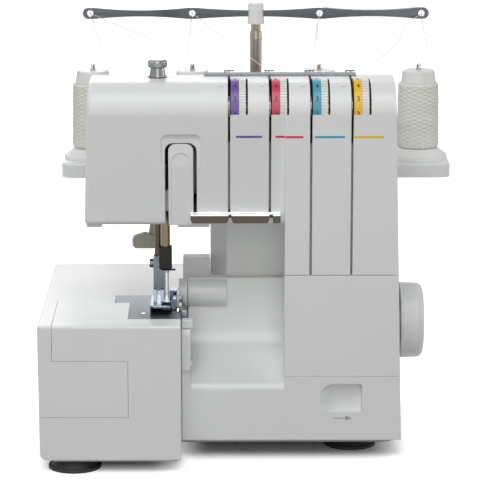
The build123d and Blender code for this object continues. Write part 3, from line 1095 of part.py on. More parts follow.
def build_spool_stand():
    plan = Pos(0, SPOOL_Y) * RectangleRounded(2 * TRAY_X, TRAY_BACK - TRAY_FRONT, TRAY_CORNER_R)
    tray = prism_z(plan, TRAY_Z0, TRAY_Z1)
    tray = fillet(tray.edges().group_by(Axis.Z)[-1], SOFT_EDGE)
    tray -= prism_z(offset(plan, -TRAY_WALL), TRAY_Z0 - 1, TRAY_Z1 - TRAY_WALL)
    low, high = TRAY_Z1 - 2 * TRAY_WALL, TRAY_Z1 - TRAY_WALL
    for x in (-SPOOL_INNER_X, SPOOL_INNER_X):
        x0, x1 = x - STAY_W / 2, x + STAY_W / 2
        tray += block(x0, x1, ARM_BACK, TRAY_FRONT + TRAY_WALL, low, high)
        tray += block(x0, x1, ARM_BACK, ARM_BACK + TRAY_WALL, low, TRAY_Z1 + STAY_RISE)
    tray += rod_z(0, SPOOL_Y, TRAY_Z0, TRAY_Z1, TUBE_R + 4)
    tray -= rod_z(0, SPOOL_Y, TRAY_Z0 + TRAY_WALL, TRAY_Z1 + 1, TUBE_R)
    for x in SPOOL_XS:
        tray -= rod_z(x, SPOOL_Y, TRAY_Z0, TRAY_Z1 + 1, PIN_R)
    save("spool_tray", tray)

    cone_z = TRAY_Z1 + SEAT_H
    cap_z = cone_z + CONE_H
    seats, pins, cones, caps = [], [], [], []
    for x in SPOOL_XS:
        bore = rod_z(x, SPOOL_Y, TRAY_Z0, PIN_TOP + 20, PIN_R)
        flange = rod_z(x, SPOOL_Y, TRAY_Z1, TRAY_Z1 + SEAT_RIM, SEAT_R)
        flange += taper_z(x, SPOOL_Y, TRAY_Z1 + SEAT_RIM, cone_z, SEAT_R - 1, CONE_R_LOW - 1)
        seats.append(flange - bore)
        pin = rod_z(x, SPOOL_Y, TRAY_Z1 - TRAY_WALL, PIN_TOP, PIN_R)
        pins.append(fillet(pin.edges().group_by(Axis.Z)[-1], PIN_R / 2))
        wound = taper_z(x, SPOOL_Y, cone_z, cap_z, CONE_R_LOW, CONE_R_TOP)
        wound = fillet(wound.edges().filter_by(GeomType.CIRCLE), CONE_EDGE_R)
        cones.append(wound - bore)
        cap = taper_z(x, SPOOL_Y, cap_z, cap_z + CAP_H, CAP_R, CAP_R - 1.2)
        cap = fillet(cap.edges().group_by(Axis.Z)[-1], 1.5)
        caps.append(cap - bore)
    save("spool_seats", *seats)
    save("spool_pins", *pins)
    save("thread_cones", *cones)
    save("spool_caps", *caps)


def build_pole():
    collar_z = TUBE_TOP - COLLAR_TAPER
    tube = rod_z(0, SPOOL_Y, TRAY_Z0 + TRAY_WALL, collar_z, TUBE_R)
    tube += taper_z(0, SPOOL_Y, collar_z, TUBE_TOP, TUBE_R + 0.3, ROD_R + 0.6)
    tube -= rod_z(0, SPOOL_Y, TUBE_TOP - ROD_LENGTH, TUBE_TOP + 1, ROD_R + RUN)
    save("pole_tube", tube)

    hub_z = BAR_Z - HUB_H / 2
    rod_low = hub_z + 4 - ROD_LENGTH
    rod = rod_z(0, SPOOL_Y, rod_low, BAR_Z - BAR_H / 2, ROD_R)
    save("pole_rod", rod)

    bar_face = Pos(0, BAR_Z) * SlotOverall(2 * (EYELET_OUTER_X + BAR_OVERHANG), BAR_H)
    for a, b in zip(EYELET_XS, EYELET_XS[1:]):
        half = (b - a) / 2 - 4
        arc_r = (half ** 2 + BAR_WAIST ** 2) / (2 * BAR_WAIST)
        for side in (-1, 1):
            bar_face -= Pos((a + b) / 2, BAR_Z + side * (BAR_H / 2 - BAR_WAIST + arc_r)) * Circle(arc_r)
    bar = prism_y(bar_face, SPOOL_Y - BAR_T / 2, SPOOL_Y + BAR_T / 2)
    for x in EYELET_XS:
        bar -= rod_y(x, SPOOL_Y - BAR_T, SPOOL_Y + BAR_T, BAR_Z, EYELET_R)
    hub = taper_z(0, SPOOL_Y, hub_z, hub_z + HUB_H, HUB_R, HUB_R - 0.8)
    hub = fillet(hub.edges().group_by(Axis.Z)[-1], 1.5)
    save("thread_bar", bar)
    save("bar_hub", hub - prism_y(bar_face, SPOOL_Y - BAR_T / 2, SPOOL_Y + BAR_T / 2) - rod)


def build_threads():
    cap_top = TRAY_Z1 + SEAT_H + CONE_H + CAP_H
    for i, (start_dx, loose) in enumerate(THREAD_STARTS):
        eye = EYELET_XS[i]
        route = [(SPOOL_XS[i] + start_dx, SPOOL_Y, cap_top - 0.2), (eye, SPOOL_Y + EYELET_RUN, BAR_Z),
                 (eye, SPOOL_Y - EYELET_RUN, BAR_Z)]
        route += list(loose)
        route.append((SLOT_XS[i], GUIDE_Y - 1, ARM_TOP + HOOK_H - 1))
        runs = [(Vector(b) - Vector(a)) for a, b in zip(route, route[1:])]
        radii = []
        for a, b in zip(runs, runs[1:]):
            radii.append(0.45 * min(a.length, b.length) / math.tan(math.radians(a.get_angle(b)) / 2))
        path = FilletPolyline(*route, radius=radii)
        section = Plane(path @ 0, z_dir=path % 0) * Circle(THREAD_D / 2)
        thread = sweep(section, path)
        tube = math.pi * THREAD_D ** 2 / 4 * path.length
        print(f"thread_{i + 1}: length {path.length:.1f}, radii {[round(r, 1) for r in radii]}, "
              f"volume over section times length {thread.volume / tube:.4f}")
        save(f"thread_{i + 1}", thread)


def build_small_parts():
    screws = []
    arm = SCREW_CROSS / 2
    for x, z in SCREW_PLACES:
        head = rod_y(x, ARM_BACK, ARM_BACK + SCREW_HEAD_H, z, SCREW_HEAD_R)
        head = fillet(head.edges().group_by(Axis.Y)[-1], SCREW_HEAD_H / 2)
        slot_y = ARM_BACK + SCREW_HEAD_H / 2
        head -= block(x - 2, x + 2, slot_y, slot_y + 3, z - arm, z + arm)
        head -= block(x - arm, x + arm, slot_y, slot_y + 3, z - 2, z + 2)
        screws.append(head)
    x, y = PLATE_SCREW_X, PLATE_SCREW_Y
    head = rod_z(x, y, BED_TOP, BED_TOP + PLATE_SCREW_H, PLATE_SCREW_R)
    head -= block(x - 3, x + 3, y - arm / 2, y + arm / 2, BED_TOP + PLATE_SCREW_H / 2, BED_TOP + 2)
    save("casing_screws", *screws, head)
    lens = block(LAMP_X0, LAMP_X1, LAMP_Y - 9, LAMP_Y + 9, ARM_UNDER - 2.5, ARM_UNDER)
    lens = fillet(lens.edges().group_by(Axis.Z)[0], 2)
    save("work_lamp", lens)


if __name__ == "__main__":
    os.makedirs("parts", exist_ok=True)
    build_casing()
    build_castings()
    build_needle_bar()
    build_presser()
    build_stitch_parts()
    build_stand()
    build_bed_housing()
    build_looper_cover()
    build_table()
    build_drive()
    build_dials()
    build_guides()
    build_spool_stand()
    build_pole()
    build_threads()
    build_small_parts()
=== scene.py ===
# %% [markdown]
# # An overlock sewing machine, dressed
#
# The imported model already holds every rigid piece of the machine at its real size. This lesson gives those
# pieces their finishes and adds what a solid modeller leaves plain: the four threads, the thread wound on the
# cones, the printing on the dials and the small marks. Everything is in metres, in the model's own frame.

# %% Load the frame
import math

import bpy
import numpy as np
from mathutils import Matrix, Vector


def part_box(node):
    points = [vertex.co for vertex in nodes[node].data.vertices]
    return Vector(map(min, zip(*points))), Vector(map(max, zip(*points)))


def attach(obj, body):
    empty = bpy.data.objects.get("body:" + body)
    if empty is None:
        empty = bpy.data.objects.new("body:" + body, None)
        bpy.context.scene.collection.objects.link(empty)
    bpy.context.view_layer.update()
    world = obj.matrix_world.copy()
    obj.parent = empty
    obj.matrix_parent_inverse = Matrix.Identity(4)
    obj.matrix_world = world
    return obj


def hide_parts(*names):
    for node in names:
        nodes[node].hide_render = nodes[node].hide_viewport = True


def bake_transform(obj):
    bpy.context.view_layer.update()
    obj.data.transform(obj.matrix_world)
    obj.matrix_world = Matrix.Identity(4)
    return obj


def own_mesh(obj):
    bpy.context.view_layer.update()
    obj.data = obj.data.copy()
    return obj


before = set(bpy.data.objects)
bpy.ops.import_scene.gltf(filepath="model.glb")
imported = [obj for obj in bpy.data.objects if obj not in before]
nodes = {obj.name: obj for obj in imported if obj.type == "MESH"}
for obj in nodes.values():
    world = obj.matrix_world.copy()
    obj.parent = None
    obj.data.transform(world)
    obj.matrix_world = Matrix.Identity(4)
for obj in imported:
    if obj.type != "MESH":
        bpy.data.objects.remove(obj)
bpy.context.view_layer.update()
MM = 0.001

# %% [markdown]
# ## The camera
#
# A catalogue photograph is taken from far away with a long lens, so that the sides hardly converge. The
# camera stands almost two metres in front of the machine, over half a metre up, and looks down by twelve
# degrees.

# %% Camera
SENSOR_WIDTH = 36.0               # millimetres, as the lens is
LENS = 187.5
CAMERA_PLACE = (-0.0215, -1.924, 0.5685)
LOOKS_DOWN = math.radians(12.3)
LOOKS_RIGHT = math.radians(0.336)

camera_data = bpy.data.cameras.new("studio_camera")
camera_data.sensor_width = SENSOR_WIDTH
camera_data.lens = LENS
camera = bpy.data.objects.new("studio_camera", camera_data)
camera.location = CAMERA_PLACE
camera.rotation_euler = (math.radians(90) - LOOKS_DOWN, 0, -LOOKS_RIGHT)
bpy.context.scene.collection.objects.link(camera)
bpy.context.scene.camera = camera
print("camera with a lens of", LENS, "mm at", CAMERA_PLACE)

# %% [markdown]
# ## Helpers for surfaces
#
# Most new pieces are a grid of points worked out by numpy in one go. A grid of R rows and C columns becomes
# quads, and on a round piece the last column is joined to the first.

# %% Grid surface
def grid_faces(rows, columns, close_columns=False):
    """Quads between neighbours (i, j), (i, j+1), (i+1, j+1), (i+1, j), wrapping round where closed."""
    i = np.arange(rows - 1)
    j = np.arange(columns if close_columns else columns - 1)
    i, j = np.meshgrid(i, j, indexing="ij")
    down = i + 1
    right = (j + 1) % columns
    quads = np.stack([i * columns + j, i * columns + right, down * columns + right, down * columns + j], -1)
    return quads.reshape(-1, 4)


def make_piece(name, points, faces, material, body, smooth=True):
    """Mesh object from an array of points and an array or list of faces, riding on a body of the frame."""
    mesh = bpy.data.meshes.new(name)
    corners = faces.tolist() if isinstance(faces, np.ndarray) else faces
    mesh.from_pydata(np.asarray(points, float).reshape(-1, 3).tolist(), [], corners)
    mesh.polygons.foreach_set("use_smooth", [smooth] * len(mesh.polygons))
    mesh.materials.append(material)
    mesh.update()
    piece = bpy.data.objects.new(name, mesh)
    bpy.context.scene.collection.objects.link(piece)
    if body:
        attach(piece, body)
    return piece


# %% [markdown]
# ## Helpers for finishes
#
# Colours are written as they look on a screen, in sRGB hex, and turned to the linear values that a renderer
# needs. One function adds a node: a plain value goes onto the socket, and a socket given as a value is
# linked.

# %% Colour and nodes
def linear(code):
    """sRGB hex to linear RGBA: c / 12.92 for dark values, ((c + 0.055) / 1.055) ^ 2.4 for the rest."""
    srgb = np.array([int(code[k:k + 2], 16) for k in (1, 3, 5)]) / 255
    rgb = np.where(srgb <= 0.04045, srgb / 12.92, ((srgb + 0.055) / 1.055) ** 2.4)
    return (*rgb.tolist(), 1.0)


def add_node(tree, kind, settings=None, **inputs):
    """Node of a kind with its settings; inputs are named by socket, with _ for a space, or as in0, in1 by
    place."""
    made = tree.nodes.new(kind)
    for key, value in (settings or {}).items():
        setattr(made, key, value)
    for key, value in inputs.items():
        place = int(key[2:]) if key[:2] == "in" and key[2:].isdigit() else key.replace("_", " ")
        if isinstance(value, bpy.types.NodeSocket):
            tree.links.new(value, made.inputs[place])
        else:
            made.inputs[place].default_value = value
    return made


def new_material(name, **values):
    """Material with one Principled surface; values are set on its sockets."""
    material = bpy.data.materials.new(name)
    material.use_nodes = True
    tree = material.node_tree
    surface = tree.nodes["Principled BSDF"]
    for key, value in values.items():
        surface.inputs[key.replace("_", " ")].default_value = value
    return material, tree, surface


# %% [markdown]
# ## Moulded ABS
#
# The casing is white ABS from a spark-eroded steel mould. The mould leaves a very fine grain, which breaks
# the reflections into a soft sheen, and the wall thickness makes slow waves in the surface. Where two faces
# meet, the mould has a small radius, which catches a thin line of light: the Bevel node rounds the shading
# there.

# %% ABS
GRAIN = 0.6 * MM          # coarser than the real grain, so that it still shows in the render
WAVE = 45 * MM
EDGE_RADIUS = 0.7 * MM
EDGE_SAMPLES = 6
MOTTLE = 0.955            # share of its colour that the plastic keeps where it is darkest


def moulded(name, code, roughness, grain=0.06, wave=0.012, edge=EDGE_RADIUS, shade=0.05):
    """Moulded plastic: grain and slow waves as bump, a little mottling in roughness and colour."""
    material, tree, surface = new_material(name, Roughness=roughness, IOR=1.53)
    place = add_node(tree, "ShaderNodeTexCoord").outputs["Object"]
    fine = add_node(tree, "ShaderNodeTexNoise", Vector=place, Scale=1 / GRAIN, Detail=2.0)
    slow = add_node(tree, "ShaderNodeTexNoise", Vector=place, Scale=1 / WAVE, Detail=1.0)
    rounded = add_node(tree, "ShaderNodeBevel", {"samples": EDGE_SAMPLES}, Radius=edge)
    waves = add_node(tree, "ShaderNodeBump", Height=slow.outputs["Fac"], Strength=wave, Distance=WAVE / 10,
                     Normal=rounded.outputs["Normal"])
    grained = add_node(tree, "ShaderNodeBump", Height=fine.outputs["Fac"], Strength=grain, Distance=GRAIN / 4,
                       Normal=waves.outputs["Normal"])
    tree.links.new(grained.outputs["Normal"], surface.inputs["Normal"])
    mottled = add_node(tree, "ShaderNodeMapRange", Value=slow.outputs["Fac"], To_Min=roughness - shade,
                       To_Max=roughness + shade)
    tree.links.new(mottled.outputs["Result"], surface.inputs["Roughness"])
    base = linear(code)
    darker = tuple(MOTTLE * c for c in base[:3]) + (1.0,)
    tint = add_node(tree, "ShaderNodeMix", {"data_type": "RGBA"}, Factor=slow.outputs["Fac"], in6=darker,
                    in7=base)
    tree.links.new(tint.outputs[2], surface.inputs["Base Color"])
    return material


white_abs = moulded("white_abs_moulded", "#eceeed", 0.34)
base_abs = moulded("grey_white_abs_moulded", "#dfe1e0", 0.42)
spool_abs = moulded("spool_plastic_moulded", "#f0f0ee", 0.38)
lever_plastic = moulded("lever_plastic_moulded", "#bdb8ab", 0.42)
black_plastic = moulded("black_plastic_moulded", "#1b1b1c", 0.45)

# %% [markdown]
# ## Steels
#
# The plates and guides are nickel-plated and polished, the bars are ground, and the thread bar is polished
# dark. A metal's colour is its reflection, so each one gets its own tone. Grinding and polishing leave fine
# lines along one direction, drawn here by noise that is stretched along that direction and pressed together
# across it.

# %% Metals
LINE_LENGTH = 12 * MM
LINE_WIDTH = 0.35 * MM    # coarser than real polishing lines, so that they show
SMOOTHEST = 0.7           # roughness between the lines and on them, as shares of the metal's own
ROUGHEST = 1.4


def steel(name, code, roughness, along="X", lines=0.05, edge=0.35 * MM):
    """Metal with fine lines along one axis: they move the roughness and bump the surface a little."""
    material, tree, surface = new_material(name, Base_Color=linear(code), Metallic=1.0, Roughness=roughness)
    place = add_node(tree, "ShaderNodeTexCoord").outputs["Object"]
    stretch = [1 / LINE_LENGTH if axis == along else 1 / LINE_WIDTH for axis in "XYZ"]
    drawn = add_node(tree, "ShaderNodeMapping", Vector=place, Scale=stretch)
    streaks = add_node(tree, "ShaderNodeTexNoise", Vector=drawn.outputs["Vector"], Scale=1.0, Detail=3.0)
    rounded = add_node(tree, "ShaderNodeBevel", {"samples": EDGE_SAMPLES}, Radius=edge)
    bump = add_node(tree, "ShaderNodeBump", Height=streaks.outputs["Fac"], Strength=lines,
                    Distance=LINE_WIDTH / 4, Normal=rounded.outputs["Normal"])
    tree.links.new(bump.outputs["Normal"], surface.inputs["Normal"])
    spread = add_node(tree, "ShaderNodeMapRange", Value=streaks.outputs["Fac"], To_Min=SMOOTHEST * roughness,
                      To_Max=ROUGHEST * roughness)
    tree.links.new(spread.outputs["Result"], surface.inputs["Roughness"])
    return material


polished_steel = steel("nickel_plated_steel_polished", "#b4b5b6", 0.14)
plate_steel = steel("needle_plate_steel_brushed", "#6b7078", 0.34, lines=0.08)
foot_steel = steel("presser_foot_steel_polished", "#6c7682", 0.2, along="Y")
bar_steel = steel("bar_steel_ground", "#6f6250", 0.28, along="Z")
# painted shade: the presser bar gets a darker copy of the ground bar steel, for the shade that it stands in
shaded_bar_steel = steel("presser_bar_steel_painted_shade", "#4b4339", 0.3, along="Z")
dull_steel = steel("nickel_plated_steel_dull", "#7c7e81", 0.2)
pole_steel = steel("pole_steel_drawn", "#8d887c", 0.3, along="Z")
dark_steel = steel("thread_bar_steel_dark", "#56585c", 0.18)
black_steel = steel("needle_clamp_black_oxide", "#2a2826", 0.38, along="Z")
knob_steel = steel("knob_steel_turned", "#7f8183", 0.26, along="Z")
cast_metal = steel("frame_aluminium_cast", "#a9abac", 0.5, lines=0.2)
bronze = steel("bush_bronze_sintered", "#a5805a", 0.42)
motor_paint = moulded("motor_can_painted", "#4a4d50", 0.4)

# %% [markdown]
# ## The folded thread guide
#
# The guide under the arm is one folded strip: its upper edge carries a painted highlight, a near-white tone
# in place of the light that it reflects, and the lips below keep the dark tone of the strip. The height
# decides which one shows.

# %% Folded guide
LIP_TONE = "#3d3b34"
HIGHLIGHT_TONE = "#e6e7e8"
HIGHLIGHT_FROM = 1.9 * MM      # below the guide's top, where the painted highlight begins
HIGHLIGHT_TO = 1.3 * MM

_, guide_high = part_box("needle_thread_guide")
guide_steel = steel("thread_guide_steel_folded", LIP_TONE, 0.4)
tree = guide_steel.node_tree
place = add_node(tree, "ShaderNodeTexCoord").outputs["Object"]
height = add_node(tree, "ShaderNodeSeparateXYZ", Vector=place).outputs["Z"]
# painted highlight: towards the guide's top its colour turns near-white, in place of the light that it
# reflects
highlighted = add_node(tree, "ShaderNodeMapRange", Value=height, From_Min=guide_high.z - HIGHLIGHT_FROM,
                From_Max=guide_high.z - HIGHLIGHT_TO)
tone = add_node(tree, "ShaderNodeMix", {"data_type": "RGBA"}, Factor=highlighted.outputs["Result"],
                in6=linear(LIP_TONE), in7=linear(HIGHLIGHT_TONE))
tree.links.new(tone.outputs[2], tree.nodes["Principled BSDF"].inputs["Base Color"])

# %% [markdown]
# ## Rubber, print and lamp lens
#
# The feet are black rubber with a dusty, slightly uneven skin. Printing ink lies flat on the plastic and is
# duller than it. The lens under the arm is frosted on its inside, so it passes light but shows nothing behind
# it.

# %% Rubber, ink and lens
DUST = 2.5 * MM
DUSTY = 2.2               # how much paler the dust makes the rubber


def rubber_skin(name, code):
    """Rubber: rough all over, with blotches of dust in the colour and a pitted bump."""
    material, tree, surface = new_material(name, Roughness=0.72, IOR=1.52)
    place = add_node(tree, "ShaderNodeTexCoord").outputs["Object"]
    blotches = add_node(tree, "ShaderNodeTexNoise", Vector=place, Scale=1 / DUST, Detail=5.0)
    base = linear(code)
    dusty = tuple(DUSTY * c for c in base[:3]) + (1.0,)
    tint = add_node(tree, "ShaderNodeMix", {"data_type": "RGBA"}, Factor=blotches.outputs["Fac"], in6=base,
                    in7=dusty)
    tree.links.new(tint.outputs[2], surface.inputs["Base Color"])
    bump = add_node(tree, "ShaderNodeBump", Height=blotches.outputs["Fac"], Strength=0.2, Distance=DUST / 10)
    tree.links.new(bump.outputs["Normal"], surface.inputs["Normal"])
    return material


def ink(name, code):
    """Screen-printed ink: flat, slightly patchy in gloss."""
    material, tree, surface = new_material(name, Base_Color=linear(code), Roughness=0.5)
    place = add_node(tree, "ShaderNodeTexCoord").outputs["Object"]
    patches = add_node(tree, "ShaderNodeTexNoise", Vector=place, Scale=1 / MM, Detail=2.0)
    gloss = add_node(tree, "ShaderNodeMapRange", Value=patches.outputs["Fac"], To_Min=0.42, To_Max=0.6)
    tree.links.new(gloss.outputs["Result"], surface.inputs["Roughness"])
    return material


rubber = rubber_skin("foot_rubber_black", "#151516")
belt_rubber = rubber_skin("belt_rubber_black", "#202020")
dark_ink = ink("print_ink_dark", "#2b2b33")
grey_ink = ink("print_ink_grey", "#a3a6a8")
lens, _, _ = new_material("lamp_lens_frosted", Base_Color=linear("#f4f4ee"), Roughness=0.35, IOR=1.49,
                          Transmission_Weight=0.6)

# %% [markdown]
# ## The tension dials
#
# Each dial is one wheel with two bands: a coloured one with numbers, and a white knurled one for the thumb.
# Both are on the same solid, so the material asks for the X coordinate and changes colour where the knurling
# begins.

# %% Dial finishes
DIAL_COLOURS = ("#6d4a9c", "#d32a52", "#3a9dbb", "#f2c30c")
KNURL_WHITE = "#eeefec"
BAND_WIDTH = 6.2 * MM


def dial_finish(name, code, knurl_x):
    """Moulded plastic that is coloured left of knurl_x and white right of it."""
    material = moulded(name, code, 0.3, edge=0.3 * MM)
    tree = material.node_tree
    surface = tree.nodes["Principled BSDF"]
    place = add_node(tree, "ShaderNodeTexCoord").outputs["Object"]
    x = add_node(tree, "ShaderNodeSeparateXYZ", Vector=place).outputs["X"]
    is_knurl = add_node(tree, "ShaderNodeMath", {"operation": "GREATER_THAN"}, in0=x, in1=knurl_x)
    coloured = surface.inputs["Base Color"].links[0].from_socket
    split = add_node(tree, "ShaderNodeMix", {"data_type": "RGBA"}, Factor=is_knurl.outputs[0], in6=coloured,
                     in7=linear(KNURL_WHITE))
    tree.links.new(split.outputs[2], surface.inputs["Base Color"])
    return material


dial_finishes = []
for i, code in enumerate(DIAL_COLOURS):
    low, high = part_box(f"tension_dial_{i + 1}")
    dial_finishes.append(dial_finish(f"dial_plastic_{i + 1}", code, low.x + BAND_WIDTH))

# %% [markdown]
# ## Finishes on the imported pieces
#
# The rigid pieces keep their own meshes. Each gets its finish in its material slot, by name.

# %% Dress the nodes
finishes = {
    white_abs: ["bed_housing", "rear_housing", "front_cover", "take_up_cover", "looper_cover",
                "extension_table", "accessory_drawer", "handwheel", "spool_tray", "bar_hub"],
    base_abs: ["base_plate"],
    spool_abs: ["spool_seats", "spool_caps"],
    lever_plastic: ["lifter_lever"],
    black_plastic: ["power_inlet", "power_switch", "motor_pulley", "driven_pulley", "switch_pin"],
    polished_steel: ["tension_discs", "lower_knife", "upper_looper", "lower_looper", "casing_screws",
                     "spool_pins"],
    dull_steel: ["top_thread_guide", "needles", "upper_knife"],
    guide_steel: ["needle_thread_guide"],
    plate_steel: ["needle_plate", "feed_dog", "presser_ankle"],
    foot_steel: ["presser_foot"],
    bar_steel: ["needle_bar", "main_shaft", "dial_spindle", "cover_hinge_rod"],
    shaded_bar_steel: ["presser_bar"],
    pole_steel: ["pole_tube", "pole_rod"],
    dark_steel: ["thread_bar"],
    black_steel: ["needle_clamp"],
    knob_steel: ["pressure_knob"],
    cast_metal: ["head_frame", "bed_frame"],
    bronze: ["bushes"],
    motor_paint: ["motor"],
    rubber: ["rubber_feet"],
    belt_rubber: ["drive_belt"],
    lens: ["work_lamp"],
}
for i, finish in enumerate(dial_finishes):
    finishes[finish] = [f"tension_dial_{i + 1}"]
for finish, names in finishes.items():
    for name in names:
        nodes[name].data.materials.clear()
        nodes[name].data.materials.append(finish)
dressed = sum(finishes.values(), [])
print(len(dressed), "nodes dressed, left for their own pieces:", sorted(set(nodes) - set(dressed)))

# %% [markdown]
# ## The four threads
#
# The thread is polyester, spun from short fibres. Their ends stand out as a soft fuzz, which scatters light
# towards the edges: that is the sheen. A fine noise bump breaks up what is left of the gloss.

# %% Thread finish
FIBRE = 0.4 * MM
FUZZ_DEPTH = 0.05 * MM

polyester_thread, tree, surface = new_material("polyester_thread", Base_Color=linear("#e9e7e1"),
                                               Roughness=0.62, Sheen_Weight=0.25, Sheen_Roughness=0.4)
place = add_node(tree, "ShaderNodeTexCoord").outputs["Object"]
fibres = add_node(tree, "ShaderNodeTexNoise", Vector=place, Scale=1 / FIBRE, Detail=3.0)
fuzz = add_node(tree, "ShaderNodeBump", Height=fibres.outputs["Fac"], Strength=0.25, Distance=FUZZ_DEPTH)
tree.links.new(fuzz.outputs["Normal"], surface.inputs["Normal"])

# %% [markdown]
# Each thread leaves its cone, goes up through an eyelet of the thread bar and forward to the guide on top of
# the arm. It is limp and fine, so its line follows where it is held: the route is a short list of points, and
# a smooth spline runs along them. Three are drawn tight, the fourth hangs loose over the arm. The thread bar
# telescopes, but the threads are drawn where they lie at rest and ride on no body.

# %% Thread routes
THREAD_DIAMETER = 0.5 * MM
THREAD_ROUTES = {    # millimetres: cone, into the eyelet, out of it, on to the guide
    "thread_1": [(-117.9, 104, 268.5), (-131.4, 108.5, 315.5), (-131.4, 99.5, 315.5), (-18.9, -47, 289.6)],
    "thread_2": [(-54.5, 104, 268.5), (-48.5, 108.5, 315.5), (-48.5, 99.5, 315.5), (11.6, -47, 289.6)],
    "thread_3": [(50.1, 104, 268.5), (55.1, 108.5, 315.5), (55.1, 99.5, 315.5), (42.1, -47, 289.6)],
    "thread_4": [(146.5, 104, 268.5), (138, 108.5, 315.5), (138, 99.5, 315.5), (123.2, 91, 307.2),
                 (118.3, 66, 298.4), (104.2, 31, 291.3), (90.4, -4, 289.2), (72.6, -47, 289.6)],
}
THREAD_SIDES = 8
SPLINE_STEPS = 24


def spline_points(route):
    """Points read along a quadratic NURBS spline whose control points are the route."""
    curve = bpy.data.curves.new("route", "CURVE")
    curve.dimensions = "3D"
    curve.resolution_u = SPLINE_STEPS
    spline = curve.splines.new("NURBS")
    spline.points.add(len(route) - 1)
    spline.points.foreach_set("co", np.column_stack([route, np.ones(len(route))]).ravel())
    spline.order_u = 3
    spline.use_endpoint_u = True
    holder = bpy.data.objects.new("route", curve)
    line = bpy.data.meshes.new_from_object(holder)
    points = np.zeros(len(line.vertices) * 3)
    line.vertices.foreach_get("co", points)
    bpy.data.objects.remove(holder)
    bpy.data.meshes.remove(line)
    return points.reshape(-1, 3)


def tube(path, radius, sides, aside=(1, 0, 0)):
    """Circle carried along a path: centre + r cos(a) u + r sin(a) w, with u and w square to the path. The
    ends are closed."""
    along = np.gradient(path, axis=0)
    along /= np.linalg.norm(along, axis=1, keepdims=True)
    u = np.cross(along, aside)
    u /= np.linalg.norm(u, axis=1, keepdims=True)
    w = np.cross(along, u)
    angle = np.linspace(0, 2 * np.pi, sides, endpoint=False)
    ring = np.cos(angle)[:, None] * u[:, None] + np.sin(angle)[:, None] * w[:, None]
    points = path[:, None] + radius * ring
    faces = grid_faces(len(path), sides, close_columns=True).tolist()
    last = (len(path) - 1) * sides
    return points, faces + [list(range(sides))[::-1], list(range(last, last + sides))]


for name, route in THREAD_ROUTES.items():
    path = spline_points(np.array(route, float) * MM)
    points, faces = tube(path, THREAD_DIAMETER / 2, THREAD_SIDES)
    thread = make_piece(f"{name}_line", points, faces, polyester_thread, None)
    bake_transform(thread)
    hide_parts(name)
    print(name, "drawn length", round(float(np.linalg.norm(np.diff(path, axis=0), axis=1).sum()), 4))

# %% [markdown]
# ## Thread wound on the cones
#
# A cone holds kilometres of thread, laid in crossing helices so that it runs off over the end. From a step
# away it looks smooth, close up it has a fine diamond pattern. The surface is a profile turned round the pin,
# and two families of helices, one climbing and one falling, lift it: where thread lies the radius is a little
# larger.

# %% Wound cones
CONE_LAY = 3.4 * MM       # spacing of the drawn windings, coarser than the thread so that they show
CONE_STARTS = 12          # windings met on the way round, which sets how steeply they cross
CONE_RELIEF = 0.2 * MM
CONE_EDGE = 3.0 * MM
CONE_TAPER = 0.8 * MM     # how much narrower the cone is at its top
SWAY = 0.12 * MM          # slow unevenness of the winding, and its length
SWAY_LENGTH = 17 * MM
PIN_GAP = 0.1 * MM
SPOOL_XS = (-129.9 * MM, -48.5 * MM, 55.1 * MM, 136.5 * MM)
cone_low, cone_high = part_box("thread_cones")
spool_y = (cone_low.y + cone_high.y) / 2
pin_low, pin_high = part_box("spool_pins")
pin_radius = (pin_high.y - pin_low.y) / 2
cone_r_low = (cone_high.y - cone_low.y) / 2
cone_r_top = cone_r_low - CONE_TAPER


def wound_cone(columns=220, rows=190):
    """Profile (r, z): across the bottom, round an edge, up the side, round an edge and across the top, turned
    round Z. The side's radius is lifted by the larger of cos(n a + k z) and cos(n a - k z)."""
    height = cone_high.z - cone_low.z
    z = np.linspace(0, height, rows)
    edge = np.minimum(np.minimum(z, height - z), CONE_EDGE)
    rounding = CONE_EDGE - np.sqrt(CONE_EDGE ** 2 - (CONE_EDGE - edge) ** 2)
    radius = cone_r_low + (cone_r_top - cone_r_low) * z / height - rounding
    angle = np.linspace(0, 2 * np.pi, columns, endpoint=False)
    turn = CONE_STARTS * angle[None, :]
    climb = 2 * np.pi * z[:, None] / CONE_LAY
    lift = CONE_RELIEF * (np.maximum(np.cos(turn + climb), np.cos(turn - climb)) - 1)
    sway = SWAY * np.sin(2 * np.pi * z / SWAY_LENGTH)[:, None]
    r = radius[:, None] + lift + sway
    bore = np.full((1, columns), pin_radius + PIN_GAP)
    r = np.vstack([bore, r, bore])
    z = np.concatenate([z[:1], z, z[-1:]])
    return np.stack([r * np.cos(angle), r * np.sin(angle), np.broadcast_to(z[:, None], r.shape)], -1)


winding = wound_cone()
for i, x in enumerate(SPOOL_XS):
    points = winding + np.array([x, spool_y, cone_low.z])
    faces = grid_faces(*winding.shape[:2], close_columns=True)
    cone = make_piece(f"wound_cone_{i + 1}", points, faces, polyester_thread, "machine")
    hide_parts("thread_cones")
print("cone radius", round(cone_r_low, 4), "to", round(cone_r_top, 4), "faces each", len(faces))

# %% [markdown]
# ## Numbers on the dials
#
# The coloured band carries the numbers 0 to 9, a twelfth of a turn apart, so that the one on the mark is the
# tension. Each number is a flat text made into a mesh and then bent round the wheel: its height becomes an
# angle.

# %% Dial numbers
NUMBER_HEIGHT = 4.2 * MM
NUMBER_LIFT = 0.1 * MM
NUMBER_WIDTH = 0.85               # the figures are a little narrower than the font's own
NUMBER_WEIGHT = 0.012             # and a little bolder
NUMBER_STEP = math.radians(30)
SHOWN_NUMBER = 3
SHOWN_ANGLE = math.radians(27)    # where that number stands above the wheel's front
DIAL_NUMBERS = 10


